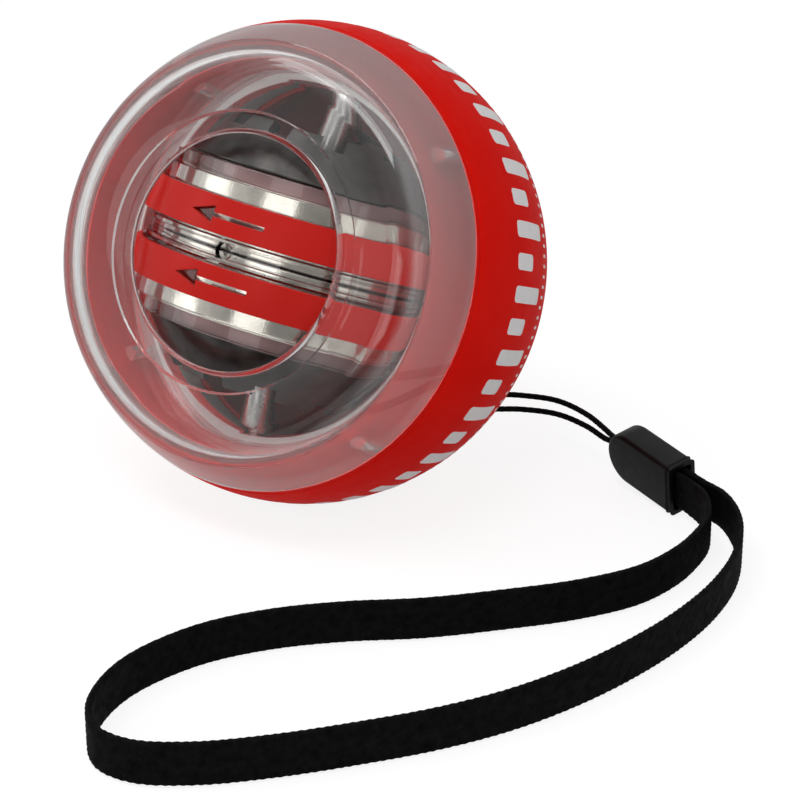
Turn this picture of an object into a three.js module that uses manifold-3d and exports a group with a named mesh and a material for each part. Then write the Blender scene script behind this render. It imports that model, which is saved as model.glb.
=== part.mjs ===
// Gyroscopic wrist ball, millimetres, +Z up, lying on its grip band with the strap on the floor.
// The opening looks towards -Y and up; the ball's own axis runs from the flat base to the opening.
import * as THREE from 'three';
import { mergeVertices } from 'three/addons/utils/BufferGeometryUtils.js';
import Module from 'manifold-3d';

const wasm = await Module();
wasm.setup();

// the ball as a whole
const BALL_R = 37.0;
const AXIS_RISE_DEG = 23.34;
const ROUND_STEPS = 40;
const PART_STEPS = 40;
const SMALL_STEPS = 16;

const RAD = Math.PI / 180;
const HALF_TURN = Math.PI;
const FULL_TURN = 2 * Math.PI;
const RISE = AXIS_RISE_DEG * RAD;

// running and seating clearances
const RUN_GAP = 0.3;
const RUN_FIT = 0.1;
const SEAT_GAP = 0.05;
const CHAMFER = 0.3;

// shells, measured along the ball axis (s) and out from it (r)
const WALL = 2.4;
const BAND_THICK = 1.6;
const SKIN_R = BALL_R - BAND_THICK;
const BAND_FRONT_S = 11.8;
const BAND_BACK_S = -19.5;
const BAND_ROUND = 0.9;
const BASE_CUT = 6.0;
const BASE_S = BASE_CUT - BALL_R;

// rounded crown and the collar round the mouth
const CROWN_TURN_DEG = 58;
const CROWN_R = 6.0;
const CROWN_AT_R = (BALL_R - CROWN_R) * Math.sin(CROWN_TURN_DEG * RAD);
const CROWN_AT_S = (BALL_R - CROWN_R) * Math.cos(CROWN_TURN_DEG * RAD);
const CROWN_SLOPE_W = 5.69;
const CROWN_SLOPE_DROP = 0.33;
const COLLAR_STEP = 0.25;
const COLLAR_W = 3.1;
const COLLAR_T = 0.8;
const COLLAR_DROP = 2.0;
const COLLAR_R = CROWN_AT_R - CROWN_SLOPE_W;
const COLLAR_S = CROWN_AT_S + CROWN_R - CROWN_SLOPE_DROP;
const MOUTH_R = COLLAR_R - COLLAR_W;
const MOUTH_S = COLLAR_S - COLLAR_STEP;

// race between the shells, where the ring and the axle tips run, from the outside in
const TIP_R = 1.2;
const RING_HALF_H = 2.2;
const RACE_BACKING = 4.5;
const RACE_STEP = 1.2;
const RING_T = 1.6;
const RING_COVER = 0.4;
const RACE_FLOOR = 2.4;
const TIP_END_GAP = 0.4;
const TIP_RACE_R = SKIN_R - RACE_BACKING;
const TIP_END = TIP_RACE_R - TIP_END_GAP;
const RACE_WIDE_R = TIP_RACE_R - RACE_STEP;
const RING_OUT_R = RACE_WIDE_R - RUN_GAP;
const RING_IN_R = RING_OUT_R - RING_T;
const RACE_IN_R = RING_IN_R - RING_COVER;

// locating posts of the lower shell in holes of the upper one's thick wall
const POST_R = 1.3;
const POST_WALL = 0.55;
const POST_AT_R = TIP_RACE_R + POST_WALL + POST_R;
const POST_COUNT = 4;
const POST_FIRST_DEG = 40.4;
const POST_TOP_S = 7.0;

// base cap
const CAP_R = 11.0;
const CAP_T = 1.6;
const CAP_LIP_W = 1.6;
const CAP_LIP_R = CAP_R + CAP_LIP_W;

// rotor, measured out from its axle (r), from the race inwards
const AXLE_ANGLE_DEG = 85.3;
const AXLE_R = 1.6;
const BORE_R = AXLE_R + RUN_FIT;
const ROTOR_GAP = 1.3;
const ROTOR_BAND_T = 0.8;
const ROTOR_BAND_FALL = 0.5;
const CHANNEL_DEPTH = 1.2;
const GROOVE_DEPTH = 0.7;
const EDGE_STEP = 1.0;
const CORE_STEP = 1.2;
const CORE_WALL = 1.2;
const WEIGHT_T = 6.2;
const WEIGHT_STEP = 2.4;
const ROTOR_BAND_R = RACE_IN_R - ROTOR_GAP;
const ROTOR_BAND_EDGE_R = ROTOR_BAND_R - ROTOR_BAND_FALL;
const CHANNEL_R = ROTOR_BAND_R - CHANNEL_DEPTH;
const GROOVE_R = CHANNEL_R - GROOVE_DEPTH;
const STEP1_R = ROTOR_BAND_EDGE_R - EDGE_STEP;
const STEP2_R = STEP1_R - CORE_STEP;
const WEIGHT_R = STEP2_R - CORE_WALL;
const WEIGHT_BORE_R = WEIGHT_R - WEIGHT_T;
const WEIGHT_STEP_R = WEIGHT_R - WEIGHT_STEP;
const HUB_R = 4.0;
const START_HOLE_R = 1.3;
const START_HOLE_DEPTH = 1.9;

// spring starter, measured out from the axle
const CASE_WALL = 0.9;
const CASE_R = WEIGHT_BORE_R - RUN_FIT;
const SPRING_T = 0.5;
const ARBOR_R = 3.6;
const SPRING_IN_R = ARBOR_R + SEAT_GAP + SPRING_T / 2;
const SPRING_OUT_R = CASE_R - CASE_WALL - SEAT_GAP - SPRING_T / 2;
const SPRING_TURNS = 3.75;
const SPRING_STEPS = 84;
const TOOTH_COUNT = 12;
const TOOTH_DEPTH = 1.6;
const TOOTH_RISE = 3.6;
const TOOTH_TIP_R = ARBOR_R + TOOTH_RISE;
const TOOTH_ROOT_R = TOOTH_TIP_R - TOOTH_DEPTH;
const TOOTH_PHASE_DEG = 1;
const PIN_R = 0.75;
const PIN_HEAD_R = 1.3;
const PAWL_BORE_R = PIN_R + RUN_FIT;
const PAWL_HEAD_R = 1.7;
const PAWL_HEAD_GAP = 2.6;
const PAWL_AT_R = TOOTH_TIP_R + PAWL_HEAD_GAP + PAWL_HEAD_R;
const PAWL_TIP_W = 0.7;
const PAWL_TIP_GAP = 0.174;
const PAWL_TIP_TURN_DEG = 29.45;
const PAWL_TIP_AT_R = TOOTH_TIP_R + PAWL_TIP_W / 2 + PAWL_TIP_GAP;
const SPACER_R = 2.6;

// places along the axle (a), from the middle of the rotor outwards
const GROOVE_HALF = 1.0;
const BAND_IN = 2.25;
const BAND_OUT = 7.6;
const WEB_HALF = 0.6;
const HUB_RISE = 1.4;
const ARBOR_GAP = 0.5;
const SPRING_GAP = 0.5;
const SPRING_H = 5.4;
const PIN_HEAD_T = 0.6;
const PAWL_GAP = 0.4;
const WHEEL_T = 2.0;
const DISC_GAP = 0.25;
const HUB_END = WEB_HALF + HUB_RISE;
const ARBOR_START = HUB_END + ARBOR_GAP;
const SPRING_START = ARBOR_START + SPRING_GAP;
const SPRING_END = SPRING_START + SPRING_H;
const CASE_END = SPRING_END + SPRING_GAP;
const PIN_HEAD_A = CASE_END + RUN_GAP;
const WHEEL_A = PIN_HEAD_A + PIN_HEAD_T + PAWL_GAP;
const ARBOR_END = WHEEL_A + WHEEL_T + SEAT_GAP;
const CORE_END = ARBOR_END + DISC_GAP;
const CORE_STEP_L = 2.3;
const STEP1_A = CORE_END - CORE_STEP_L;
const HUB_LOW_GAP = 0.5;
const HUB_LOW_END = CORE_END - HUB_LOW_GAP;
const AXLE_SEAT_L = 3.7;
const AXLE_BODY_END = CORE_END + AXLE_SEAT_L;

// arrows cut through the rotor's bands
const ARROW_OFF = 0.125;
const ARROW_A = (BAND_IN + BAND_OUT) / 2 - ARROW_OFF;
const ARROW_TIP = -6.5;
const ARROW_NECK = -2.2;
const ARROW_TAIL = 6.3;
const ARROW_HEAD_HALF = 1.35;
const ARROW_SHAFT_HALF = 0.35;

// dark end discs
const DISC_INSET = 0.4;
const DISC_SLOPE_R = 5.6;
const DISC_SLOPE_L = 7.7;
const DISC_R = WEIGHT_R - DISC_INSET;
const DISC_END_R = DISC_R - DISC_SLOPE_R;
const DISC_END = CORE_END + DISC_SLOPE_L;
const DISC_WEB = 1.5;
const DISC_WALL = 1.6;
const DISC_HUB_W = 1.7;
const DISC_HUB_R = BORE_R + DISC_HUB_W;
const NOTCH_COUNT = 12;
const NOTCH_W = 3.6;
const NOTCH_DEPTH = 1.8;

// strap: lug, cord, connector and webbing
const LUG_DIR = [0.42, 0.55, -0.722];
const POCKET_R = 3.1;
const LUG_WALL = 2.1;
const LUG_BOSS_R = POCKET_R + LUG_WALL;
const POCKET_DEPTH = 4.6;
const LUG_FLOOR = 2.0;
const LUG_BOSS_IN = BALL_R - POCKET_DEPTH - LUG_FLOOR;
const PIN_DEPTH = 2.3;
const LUG_PIN_R = 0.75;
const LUG_PIN_SEAT = 1.2;
const LUG_PIN_HALF = POCKET_R + LUG_PIN_SEAT;
const CORD_R = 0.45;
const CORD_SIDES = 8;
const LOOP_R = 1.4;
const CONN_L = 15.5;
const CONN_H = 8.8;
const CONN_T = 4.8;
const CONN_EDGE = 0.5;
const MOUTH_DEEP = 3.0;
const CORD_HOLE_R = 1.35;
const CORD_HOLE_DEEP = 1.6;
const WEB_W = 6.6;
const WEB_T = 1.0;
const WEB_SPREAD = 0.75;
const MOUTH_PLAY = 0.3;
const MOUTH_SIDE_PLAY = 0.45;
const MOUTH_HIGH = WEB_W + 2 * MOUTH_PLAY;
const MOUTH_WIDE = 2 * (WEB_SPREAD + WEB_T / 2 + MOUTH_SIDE_PLAY);

// stretch of the limp parts: points from the ball's centre, on the floor plan, and up from the floor
const CONN_MOUTH = [56.4, 18.7, 4.75];
const CONN_ALONG = [0.910, -0.403, -0.098];
const CONN_ACROSS = [0.414, 0.896, 0.172];
const CORD_ROUTE = [
  [18.6, 24.6, 8.1],
  [23.0, 28.4, 7.4],
  [28.6, 30.0, 7.2],
  [34.6, 28.7, 6.9],
  [39.2, 26.4, 6.5],
];
const CORD_SPREAD = [1.35, 1.25, 1.2, 1.05, 0.8];
const CORD_END_SPREAD = 0.6;
const CORD_STEP = 1.6;
const WEB_STEP = 4.2;
const WEB_UPRIGHT_AFTER = 16;
const WEB_Z = 3.4;
const WEB_ROUTE = [
  [62.3, 14.2, 4.2],
  [65.0, 9.2, 3.7],
  [65.6, 3.2, WEB_Z],
  [65.2, -3.2, WEB_Z],
  [63.0, -10.6, WEB_Z],
  [57.4, -18.8, WEB_Z],
  [49.4, -27.0, WEB_Z],
  [41.1, -34.6, WEB_Z],
  [32.0, -41.2, WEB_Z],
  [24.6, -47.9, WEB_Z],
  [18.9, -55.4, WEB_Z],
  [15.8, -62.8, WEB_Z],
  [14.6, -69.4, WEB_Z],
  [15.2, -75.6, WEB_Z],
  [17.4, -81.2, WEB_Z],
  [21.6, -85.2, WEB_Z],
  [27.4, -85.6, WEB_Z],
  [34.6, -82.0, WEB_Z],
  [42.6, -75.2, WEB_Z],
  [50.6, -66.8, WEB_Z],
  [57.4, -58.8, WEB_Z],
  [63.4, -49.8, WEB_Z],
  [68.0, -40.0, WEB_Z],
  [71.4, -29.6, WEB_Z],
  [73.6, -18.8, WEB_Z],
  [74.2, -8.0, WEB_Z],
  [72.8, 2.2, WEB_Z],
  [69.6, 10.2, 4.0],
  [65.2, 15.0, 4.6],
];

function material(colour, roughness, metalness, opacity = 1) {
  return new THREE.MeshStandardMaterial({
    color: colour,
    roughness,
    metalness,
    transparent: opacity < 1,
    opacity,
  });
}

const clearPlastic = () => material(0xe4e0e2, 0.06, 0.0, 0.35);
const redRubber = () => material(0xd0150c, 0.55, 0.0);
const redPlastic = () => material(0xd8160f, 0.35, 0.0);
const chrome = () => material(0xd9d5cc, 0.12, 1.0);
const darkSteel = () => material(0x55534f, 0.35, 0.9);
const steel = () => material(0xb9b7b2, 0.3, 1.0);
const brass = () => material(0xc9a860, 0.3, 1.0);
const springSteel = () => material(0x6d6f74, 0.35, 1.0);
const whiteNylon = () => material(0xe6e4de, 0.5, 0.0);
const blackPlastic = () => material(0x121212, 0.4, 0.0);
const blackFabric = () => material(0x101010, 0.9, 0.0);

// every geometry becomes a welded, outward facing solid
function solid(geometry) {
  geometry.deleteAttribute('normal');
  geometry.deleteAttribute('uv');
  const welded = mergeVertices(geometry, 1e-4);
  const place = welded.attributes.position.array;
  const index = welded.index.array;
  const kept = [];
  let volume = 0;
  for (let i = 0; i < index.length; i += 3) {
    const [a, b, c] = [index[i], index[i + 1], index[i + 2]];
    if (a !== b && b !== c && c !== a) {
      kept.push(a, b, c);
      const [p, q, r] = [a, b, c].map((k) => new THREE.Vector3().fromArray(place, 3 * k));
      volume += p.dot(q.cross(r));
    }
  }
  if (volume < 0) {
    kept.reverse();
  }
  return new wasm.Manifold(new wasm.Mesh({
    numProp: 3,
    vertProperties: Float32Array.from(place),
    triVerts: Uint32Array.from(kept),
  }));
}

function node(name, shape, look, place) {
  const data = shape.getMesh();
  const geometry = new THREE.BufferGeometry();
  geometry.setAttribute('position', new THREE.BufferAttribute(new Float32Array(data.vertProperties), 3));
  geometry.setIndex(Array.from(data.triVerts));
  const welded = mergeVertices(geometry, 1e-4);
  welded.applyMatrix4(place);
  welded.computeVertexNormals();
  const mesh = new THREE.Mesh(welded, look);
  mesh.name = name;
  return mesh;
}

// a turned solid: profile points are [distance from the axis, place along it]; the axis is Z
function turned(profile, steps) {
  const points = profile.map(([r, z]) => new THREE.Vector2(r, z));
  if (profile[0][0] > 0) {
    points.push(points[0].clone());
  }
  return solid(new THREE.LatheGeometry(points, steps).rotateX(HALF_TURN / 2));
}

function rod(radius, from, to, steps = SMALL_STEPS) {
  const start = new THREE.Vector3(...from);
  const along = new THREE.Vector3(...to).sub(start);
  const length = along.length();
  const turn = new THREE.Quaternion().setFromUnitVectors(new THREE.Vector3(0, 1, 0), along.normalize());
  const geometry = new THREE.CylinderGeometry(radius, radius, length, steps);
  geometry.translate(0, length / 2, 0);
  geometry.applyQuaternion(turn);
  geometry.translate(start.x, start.y, start.z);
  return solid(geometry);
}

// a flat outline pushed along Z from one level to another
function plate(outline, from, to) {
  const shape = new THREE.Shape(outline.map(([x, y]) => new THREE.Vector2(x, y)));
  const geometry = new THREE.ExtrudeGeometry(shape, { depth: to - from, bevelEnabled: false });
  geometry.translate(0, 0, from);
  return solid(geometry);
}

// points on a circle about the ball's centre, in the profile plane, angles measured from the axis
function arc(radius, fromDeg, toDeg, count, centreR = 0, centreS = 0) {
  const points = [];
  for (let i = 0; i <= count; i += 1) {
    const angle = (fromDeg + (toDeg - fromDeg) * i / count) * RAD;
    points.push([centreR + radius * Math.sin(angle), centreS + radius * Math.cos(angle)]);
  }
  return points;
}

const tilt = (radius, s) => Math.acos(s / radius) / RAD;

// the ball's own frame, stood on the floor with the opening to the front
function upperOutline() {
  const lip = BAND_FRONT_S + RUN_GAP;
  return [
    ...arc(SKIN_R, 90, tilt(SKIN_R, lip), 3),
    ...arc(BALL_R, tilt(BALL_R, lip + 2 * RUN_GAP), CROWN_TURN_DEG, 3),
    ...arc(CROWN_R, CROWN_TURN_DEG, 0, 5, CROWN_AT_R, CROWN_AT_S).slice(1),
    [COLLAR_R + RUN_GAP, COLLAR_S],
    [COLLAR_R, MOUTH_S],
    [MOUTH_R + CHAMFER, MOUTH_S],
    [MOUTH_R, MOUTH_S - CHAMFER],
  ];
}

function lowerOutline() {
  const lip = BAND_BACK_S - RUN_GAP;
  const foot = BASE_S + 2 * RUN_GAP;
  return [
    ...arc(SKIN_R, 90, tilt(SKIN_R, lip), 5),
    ...arc(BALL_R, tilt(BALL_R, lip - RUN_GAP), tilt(BALL_R, foot), 4),
    [BALL_R * Math.sin(tilt(BALL_R, BASE_S) * RAD) - RUN_GAP, BASE_S],
  ];
}

const outReach = (points, sign) => Math.max(...points.map(
  ([r, s]) => sign * s * Math.cos(RISE) + r * Math.sin(RISE)));
const frontReach = outReach(upperOutline(), 1);
const backReach = outReach(lowerOutline(), -1);
const SHIFT_Y = (frontReach - backReach) / 2;

const ballPlace = new THREE.Matrix4().makeBasis(
  new THREE.Vector3(1, 0, 0),
  new THREE.Vector3(0, Math.sin(RISE), Math.cos(RISE)),
  new THREE.Vector3(0, -Math.cos(RISE), Math.sin(RISE)),
).setPosition(0, SHIFT_Y, BALL_R);

// the rotor's frame in the ball: X to the opening, Z along the axle
const axleTurn = AXLE_ANGLE_DEG * RAD;
const axleDir = [Math.cos(axleTurn), Math.sin(axleTurn), 0];
const rotorPlace = ballPlace.clone().multiply(new THREE.Matrix4().makeBasis(
  new THREE.Vector3(0, 0, 1),
  new THREE.Vector3(Math.sin(axleTurn), -Math.cos(axleTurn), 0),
  new THREE.Vector3(...axleDir),
));
const floorPlace = new THREE.Matrix4().makeTranslation(0, SHIFT_Y, 0);

function racePoints(sign) {
  return [
    [RACE_IN_R, sign * (RING_HALF_H + RUN_GAP)],
    [RACE_WIDE_R, sign * (RING_HALF_H + RUN_GAP)],
    [RACE_WIDE_R, sign * (TIP_R + RUN_GAP)],
    [TIP_RACE_R, sign * (TIP_R + RUN_GAP)],
    [TIP_RACE_R, sign * SEAT_GAP / 2],
  ];
}

function postPlaces() {
  const places = [];
  for (let i = 0; i < POST_COUNT; i += 1) {
    const angle = (POST_FIRST_DEG + i * 360 / POST_COUNT) * RAD;
    places.push([POST_AT_R * Math.cos(angle), POST_AT_R * Math.sin(angle)]);
  }
  return places;
}

// the clear upper shell is round outside and has a straight wide bore inside, so its wall is thick
function upperShell() {
  const outline = upperOutline();
  outline[0][1] = SEAT_GAP / 2;
  const inside = CROWN_R - WALL;
  const shelf = RING_HALF_H + RUN_GAP + RACE_FLOOR;
  let shape = turned([
    ...racePoints(1),
    ...outline,
    [MOUTH_R, MOUTH_S - COLLAR_T],
    [MOUTH_R + COLLAR_T, MOUTH_S - COLLAR_DROP],
    ...arc(inside, 0, 90, 5, CROWN_AT_R, CROWN_AT_S),
    [CROWN_AT_R + inside, shelf],
    [RACE_IN_R, shelf],
  ], ROUND_STEPS);
  for (const [x, y] of postPlaces()) {
    shape = shape.subtract(rod(POST_R + SEAT_GAP, [x, y, -RUN_GAP], [x, y, POST_TOP_S + RUN_GAP]));
  }
  return node('upper_shell', shape, clearPlastic(), ballPlace);
}

function lugFrame() {
  const toBall = ballPlace.clone().setPosition(0, 0, 0).invert();
  const out = new THREE.Vector3(...LUG_DIR).normalize();
  const across = new THREE.Vector3(out.y, -out.x, 0).normalize();
  const turn = across.clone().cross(out);
  return {
    out: out.clone().applyMatrix4(toBall),
    across: across.clone().applyMatrix4(toBall),
    worldOut: out,
    worldTurn: turn,
  };
}

const alongLug = (out, distance) => out.clone().multiplyScalar(distance).toArray();

function lugPin(radius) {
  const { out, across } = lugFrame();
  const centre = out.clone().multiplyScalar(BALL_R - PIN_DEPTH);
  const from = centre.clone().addScaledVector(across, -LUG_PIN_HALF);
  const to = centre.clone().addScaledVector(across, LUG_PIN_HALF);
  return rod(radius, from.toArray(), to.toArray());
}

function lowerShell() {
  const inner = SKIN_R - WALL + RUN_GAP;
  const clearInner = BALL_R - WALL;
  const shelf = RING_HALF_H + RUN_GAP + RACE_FLOOR;
  const outline = lowerOutline();
  const floor = BASE_S + WALL;
  const envelope = turned([[0, 0], ...outline, [0, BASE_S]], ROUND_STEPS);
  outline[0][1] = -SEAT_GAP / 2;
  let shape = turned([
    ...racePoints(-1),
    ...outline,
    [CAP_LIP_R + SEAT_GAP, BASE_S],
    [CAP_LIP_R + SEAT_GAP, BASE_S + CAP_T],
    [CAP_R + SEAT_GAP, BASE_S + CAP_T],
    [CAP_R + SEAT_GAP, floor],
    ...arc(clearInner, tilt(clearInner, floor), tilt(clearInner, BAND_BACK_S - WALL), 3),
    ...arc(inner, tilt(inner, BAND_BACK_S + WALL), tilt(inner, -shelf), 3),
    [RACE_IN_R, -shelf],
  ], ROUND_STEPS);
  for (const [x, y] of postPlaces()) {
    shape = shape.add(rod(POST_R, [x, y, -shelf / 2], [x, y, POST_TOP_S]));
  }
  const { out } = lugFrame();
  const boss = rod(LUG_BOSS_R, alongLug(out, LUG_BOSS_IN), alongLug(out, BALL_R));
  const pocket = rod(POCKET_R, alongLug(out, BALL_R - POCKET_DEPTH), alongLug(out, BALL_R + WALL));
  shape = shape.add(boss.intersect(envelope));
  shape = shape.subtract(pocket);
  shape = shape.subtract(lugPin(LUG_PIN_R + SEAT_GAP));
  return node('lower_shell', shape, redPlastic(), ballPlace);
}

function gripBand() {
  const front = tilt(BALL_R, BAND_FRONT_S - BAND_ROUND);
  const back = tilt(BALL_R, BAND_BACK_S + BAND_ROUND);
  const inFront = tilt(SKIN_R + SEAT_GAP, BAND_FRONT_S);
  const inBack = tilt(SKIN_R + SEAT_GAP, BAND_BACK_S);
  const shape = turned([
    ...arc(BALL_R, front, 90, 3),
    ...arc(BALL_R, 90, back, 5).slice(1),
    ...arc(BALL_R - BAND_ROUND / 3, tilt(BALL_R, BAND_BACK_S + BAND_ROUND / 4), back, 1).slice(0, 1),
    ...arc(SKIN_R + SEAT_GAP, inBack, 90, 5),
    ...arc(SKIN_R + SEAT_GAP, 90, inFront, 3).slice(1),
    ...arc(BALL_R - BAND_ROUND / 3, tilt(BALL_R, BAND_FRONT_S - BAND_ROUND / 4), front, 1).slice(0, 1),
  ], ROUND_STEPS);
  return node('grip_band', shape, redRubber(), ballPlace);
}

function baseCap() {
  const shape = turned([
    [0, BASE_S],
    [CAP_LIP_R, BASE_S],
    [CAP_LIP_R, BASE_S + CAP_T - SEAT_GAP],
    [CAP_R, BASE_S + CAP_T - SEAT_GAP],
    [CAP_R, BASE_S + WALL],
    [0, BASE_S + WALL],
  ], PART_STEPS);
  return node('base_cap', shape, redPlastic(), ballPlace);
}

function carrierRing() {
  let shape = turned([
    [RING_IN_R, -RING_HALF_H],
    [RING_OUT_R, -RING_HALF_H],
    [RING_OUT_R, RING_HALF_H],
    [RING_IN_R, RING_HALF_H],
  ], ROUND_STEPS);
  const reach = axleDir.map((k) => k * BALL_R);
  shape = shape.subtract(rod(TIP_R + RUN_FIT, reach.map((k) => -k), reach));
  return node('carrier_ring', shape, whiteNylon(), ballPlace);
}

function axle() {
  const shape = turned([
    [0, -TIP_END],
    [TIP_R - CHAMFER, -TIP_END],
    [TIP_R, -TIP_END + CHAMFER],
    [TIP_R, -AXLE_BODY_END],
    [AXLE_R, -AXLE_BODY_END],
    [AXLE_R, AXLE_BODY_END],
    [TIP_R, AXLE_BODY_END],
    [TIP_R, TIP_END - CHAMFER],
    [TIP_R - CHAMFER, TIP_END],
    [0, TIP_END],
  ], SMALL_STEPS);
  return node('axle', shape, steel(), rotorPlace);
}

function spacer(name, sign) {
  const near = sign * (AXLE_BODY_END + SEAT_GAP);
  const far = sign * (RACE_IN_R - RUN_GAP);
  const shape = turned([
    [TIP_R + SEAT_GAP, near],
    [SPACER_R, near],
    [SPACER_R, far],
    [TIP_R + SEAT_GAP, far],
  ], SMALL_STEPS);
  return node(name, shape, steel(), rotorPlace);
}

function coreSide(sign) {
  const under = ROTOR_BAND_R - ROTOR_BAND_T - SEAT_GAP;
  const underEdge = ROTOR_BAND_EDGE_R - ROTOR_BAND_T - SEAT_GAP;
  const bore = WEIGHT_R + SEAT_GAP;
  const points = [
    [bore, WEB_HALF],
    [bore, CORE_END],
    [STEP2_R, CORE_END],
    [STEP2_R, STEP1_A],
    [STEP1_R, STEP1_A],
    [STEP1_R, BAND_OUT + SEAT_GAP],
    [underEdge, BAND_OUT],
    [under, BAND_IN],
    [under, BAND_IN - CHAMFER],
    [CHANNEL_R, BAND_IN - 2 * CHAMFER],
    [CHANNEL_R, GROOVE_HALF],
    [GROOVE_R, GROOVE_HALF],
  ];
  return points.map(([r, a]) => [r, sign * a]);
}

function rotorCore() {
  const upper = coreSide(1);
  const lower = coreSide(-1).reverse();
  let shape = turned([
    [BORE_R, HUB_END],
    [HUB_R, HUB_END],
    [HUB_R, WEB_HALF],
    ...upper,
    ...lower,
    [HUB_R, -WEB_HALF],
    [HUB_R, -HUB_LOW_END],
    [BORE_R, -HUB_LOW_END],
  ], ROUND_STEPS);
  const mouth = [CHANNEL_R + CHAMFER, 0, 0];
  shape = shape.subtract(rod(START_HOLE_R, [CHANNEL_R - START_HOLE_DEPTH, 0, 0], mouth));
  return node('rotor_core', shape, clearPlastic(), rotorPlace);
}

function arrow(sign) {
  const outline = [
    [ARROW_TIP, ARROW_A],
    [ARROW_NECK, ARROW_A - ARROW_HEAD_HALF],
    [ARROW_NECK, ARROW_A - ARROW_SHAFT_HALF],
    [ARROW_TAIL, ARROW_A - ARROW_SHAFT_HALF],
    [ARROW_TAIL, ARROW_A + ARROW_SHAFT_HALF],
    [ARROW_NECK, ARROW_A + ARROW_SHAFT_HALF],
    [ARROW_NECK, ARROW_A + ARROW_HEAD_HALF],
  ];
  const shape = new THREE.Shape(outline.map(([x, y]) => new THREE.Vector2(x, sign * y)));
  const depth = 2 * (ROTOR_BAND_R - WEIGHT_R);
  const geometry = new THREE.ExtrudeGeometry(shape, { depth, bevelEnabled: false });
  geometry.translate(0, 0, WEIGHT_R);
  geometry.applyMatrix4(new THREE.Matrix4().makeBasis(
    new THREE.Vector3(0, 1, 0),
    new THREE.Vector3(0, 0, 1),
    new THREE.Vector3(1, 0, 0),
  ));
  return solid(geometry);
}

function rotorBand(name, sign) {
  const shape = turned([
    [ROTOR_BAND_R - ROTOR_BAND_T, sign * BAND_IN],
    [ROTOR_BAND_R, sign * BAND_IN],
    [ROTOR_BAND_EDGE_R, sign * BAND_OUT],
    [ROTOR_BAND_EDGE_R - ROTOR_BAND_T, sign * BAND_OUT],
  ], ROUND_STEPS);
  return node(name, shape.subtract(arrow(sign)), redPlastic(), rotorPlace);
}

function weightRing(name, sign) {
  const near = WEB_HALF + SEAT_GAP;
  const points = [
    [WEIGHT_BORE_R, near],
    [WEIGHT_R - CHAMFER, near],
    [WEIGHT_R, near + CHAMFER],
    [WEIGHT_R, STEP1_A - CHAMFER],
    [WEIGHT_R - CHAMFER, STEP1_A],
    [WEIGHT_STEP_R, STEP1_A],
    [WEIGHT_STEP_R, CORE_END],
    [WEIGHT_BORE_R, CORE_END],
  ];
  return node(name, turned(points.map(([r, a]) => [r, sign * a]), PART_STEPS), chrome(), rotorPlace);
}

function endDisc(name, sign) {
  const face = CORE_END + SEAT_GAP;
  const web = face + DISC_WEB;
  const points = [
    [BORE_R, face],
    [DISC_R, face],
    [DISC_END_R, DISC_END],
    [DISC_END_R - DISC_WALL, DISC_END],
    [DISC_R - DISC_WALL * 2, web],
    [DISC_HUB_R, web],
    [DISC_HUB_R, AXLE_BODY_END],
    [BORE_R, AXLE_BODY_END],
  ];
  let shape = turned(points.map(([r, a]) => [r, sign * a]), PART_STEPS);
  for (let i = 0; i < NOTCH_COUNT; i += 1) {
    const cut = new THREE.BoxGeometry(DISC_WALL * 4, NOTCH_W, NOTCH_DEPTH * 2);
    cut.translate(DISC_END_R, 0, sign * DISC_END);
    cut.rotateZ(i * FULL_TURN / NOTCH_COUNT);
    shape = shape.subtract(solid(cut));
  }
  if (sign > 0) {
    for (const turn of [0, HALF_TURN]) {
      const at = [PAWL_AT_R * Math.cos(turn), PAWL_AT_R * Math.sin(turn)];
      shape = shape.subtract(rod(PIN_R + SEAT_GAP, [...at, CORE_END - RUN_GAP], [...at, web + RUN_GAP]));
    }
  }
  return node(name, shape, darkSteel(), rotorPlace);
}

function springCase() {
  const floor = WEB_HALF + SEAT_GAP;
  const shape = turned([
    [HUB_R + SEAT_GAP, floor],
    [CASE_R, floor],
    [CASE_R, CASE_END],
    [CASE_R - CASE_WALL, CASE_END],
    [CASE_R - CASE_WALL, floor + CASE_WALL],
    [HUB_R + SEAT_GAP, floor + CASE_WALL],
  ], PART_STEPS);
  return node('spring_case', shape, steel(), rotorPlace);
}

function startSpring() {
  const inner = [];
  const outer = [];
  for (let i = 0; i <= SPRING_STEPS; i += 1) {
    const share = i / SPRING_STEPS;
    const turn = share * SPRING_TURNS * FULL_TURN;
    const mid = SPRING_IN_R + (SPRING_OUT_R - SPRING_IN_R) * share;
    inner.push([(mid - SPRING_T / 2) * Math.cos(turn), (mid - SPRING_T / 2) * Math.sin(turn)]);
    outer.push([(mid + SPRING_T / 2) * Math.cos(turn), (mid + SPRING_T / 2) * Math.sin(turn)]);
  }
  const shape = plate([...inner, ...outer.reverse()], SPRING_START, SPRING_END);
  return node('start_spring', shape, springSteel(), rotorPlace);
}

function ratchetArbor() {
  const sleeve = turned([
    [AXLE_R + SEAT_GAP, ARBOR_START],
    [ARBOR_R, ARBOR_START],
    [ARBOR_R, ARBOR_END],
    [AXLE_R + SEAT_GAP, ARBOR_END],
  ], SMALL_STEPS);
  const outline = [];
  for (let i = 0; i < TOOTH_COUNT; i += 1) {
    const turn = i * FULL_TURN / TOOTH_COUNT + TOOTH_PHASE_DEG * RAD;
    outline.push([TOOTH_TIP_R * Math.cos(turn), TOOTH_TIP_R * Math.sin(turn)]);
    outline.push([TOOTH_ROOT_R * Math.cos(turn + RAD), TOOTH_ROOT_R * Math.sin(turn + RAD)]);
  }
  const wheel = plate(outline, WHEEL_A, WHEEL_A + WHEEL_T);
  const bore = rod(AXLE_R + SEAT_GAP, [0, 0, WHEEL_A - RUN_GAP], [0, 0, WHEEL_A + WHEEL_T + RUN_GAP]);
  return node('ratchet_arbor', sleeve.add(wheel.subtract(bore)), steel(), rotorPlace);
}

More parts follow.
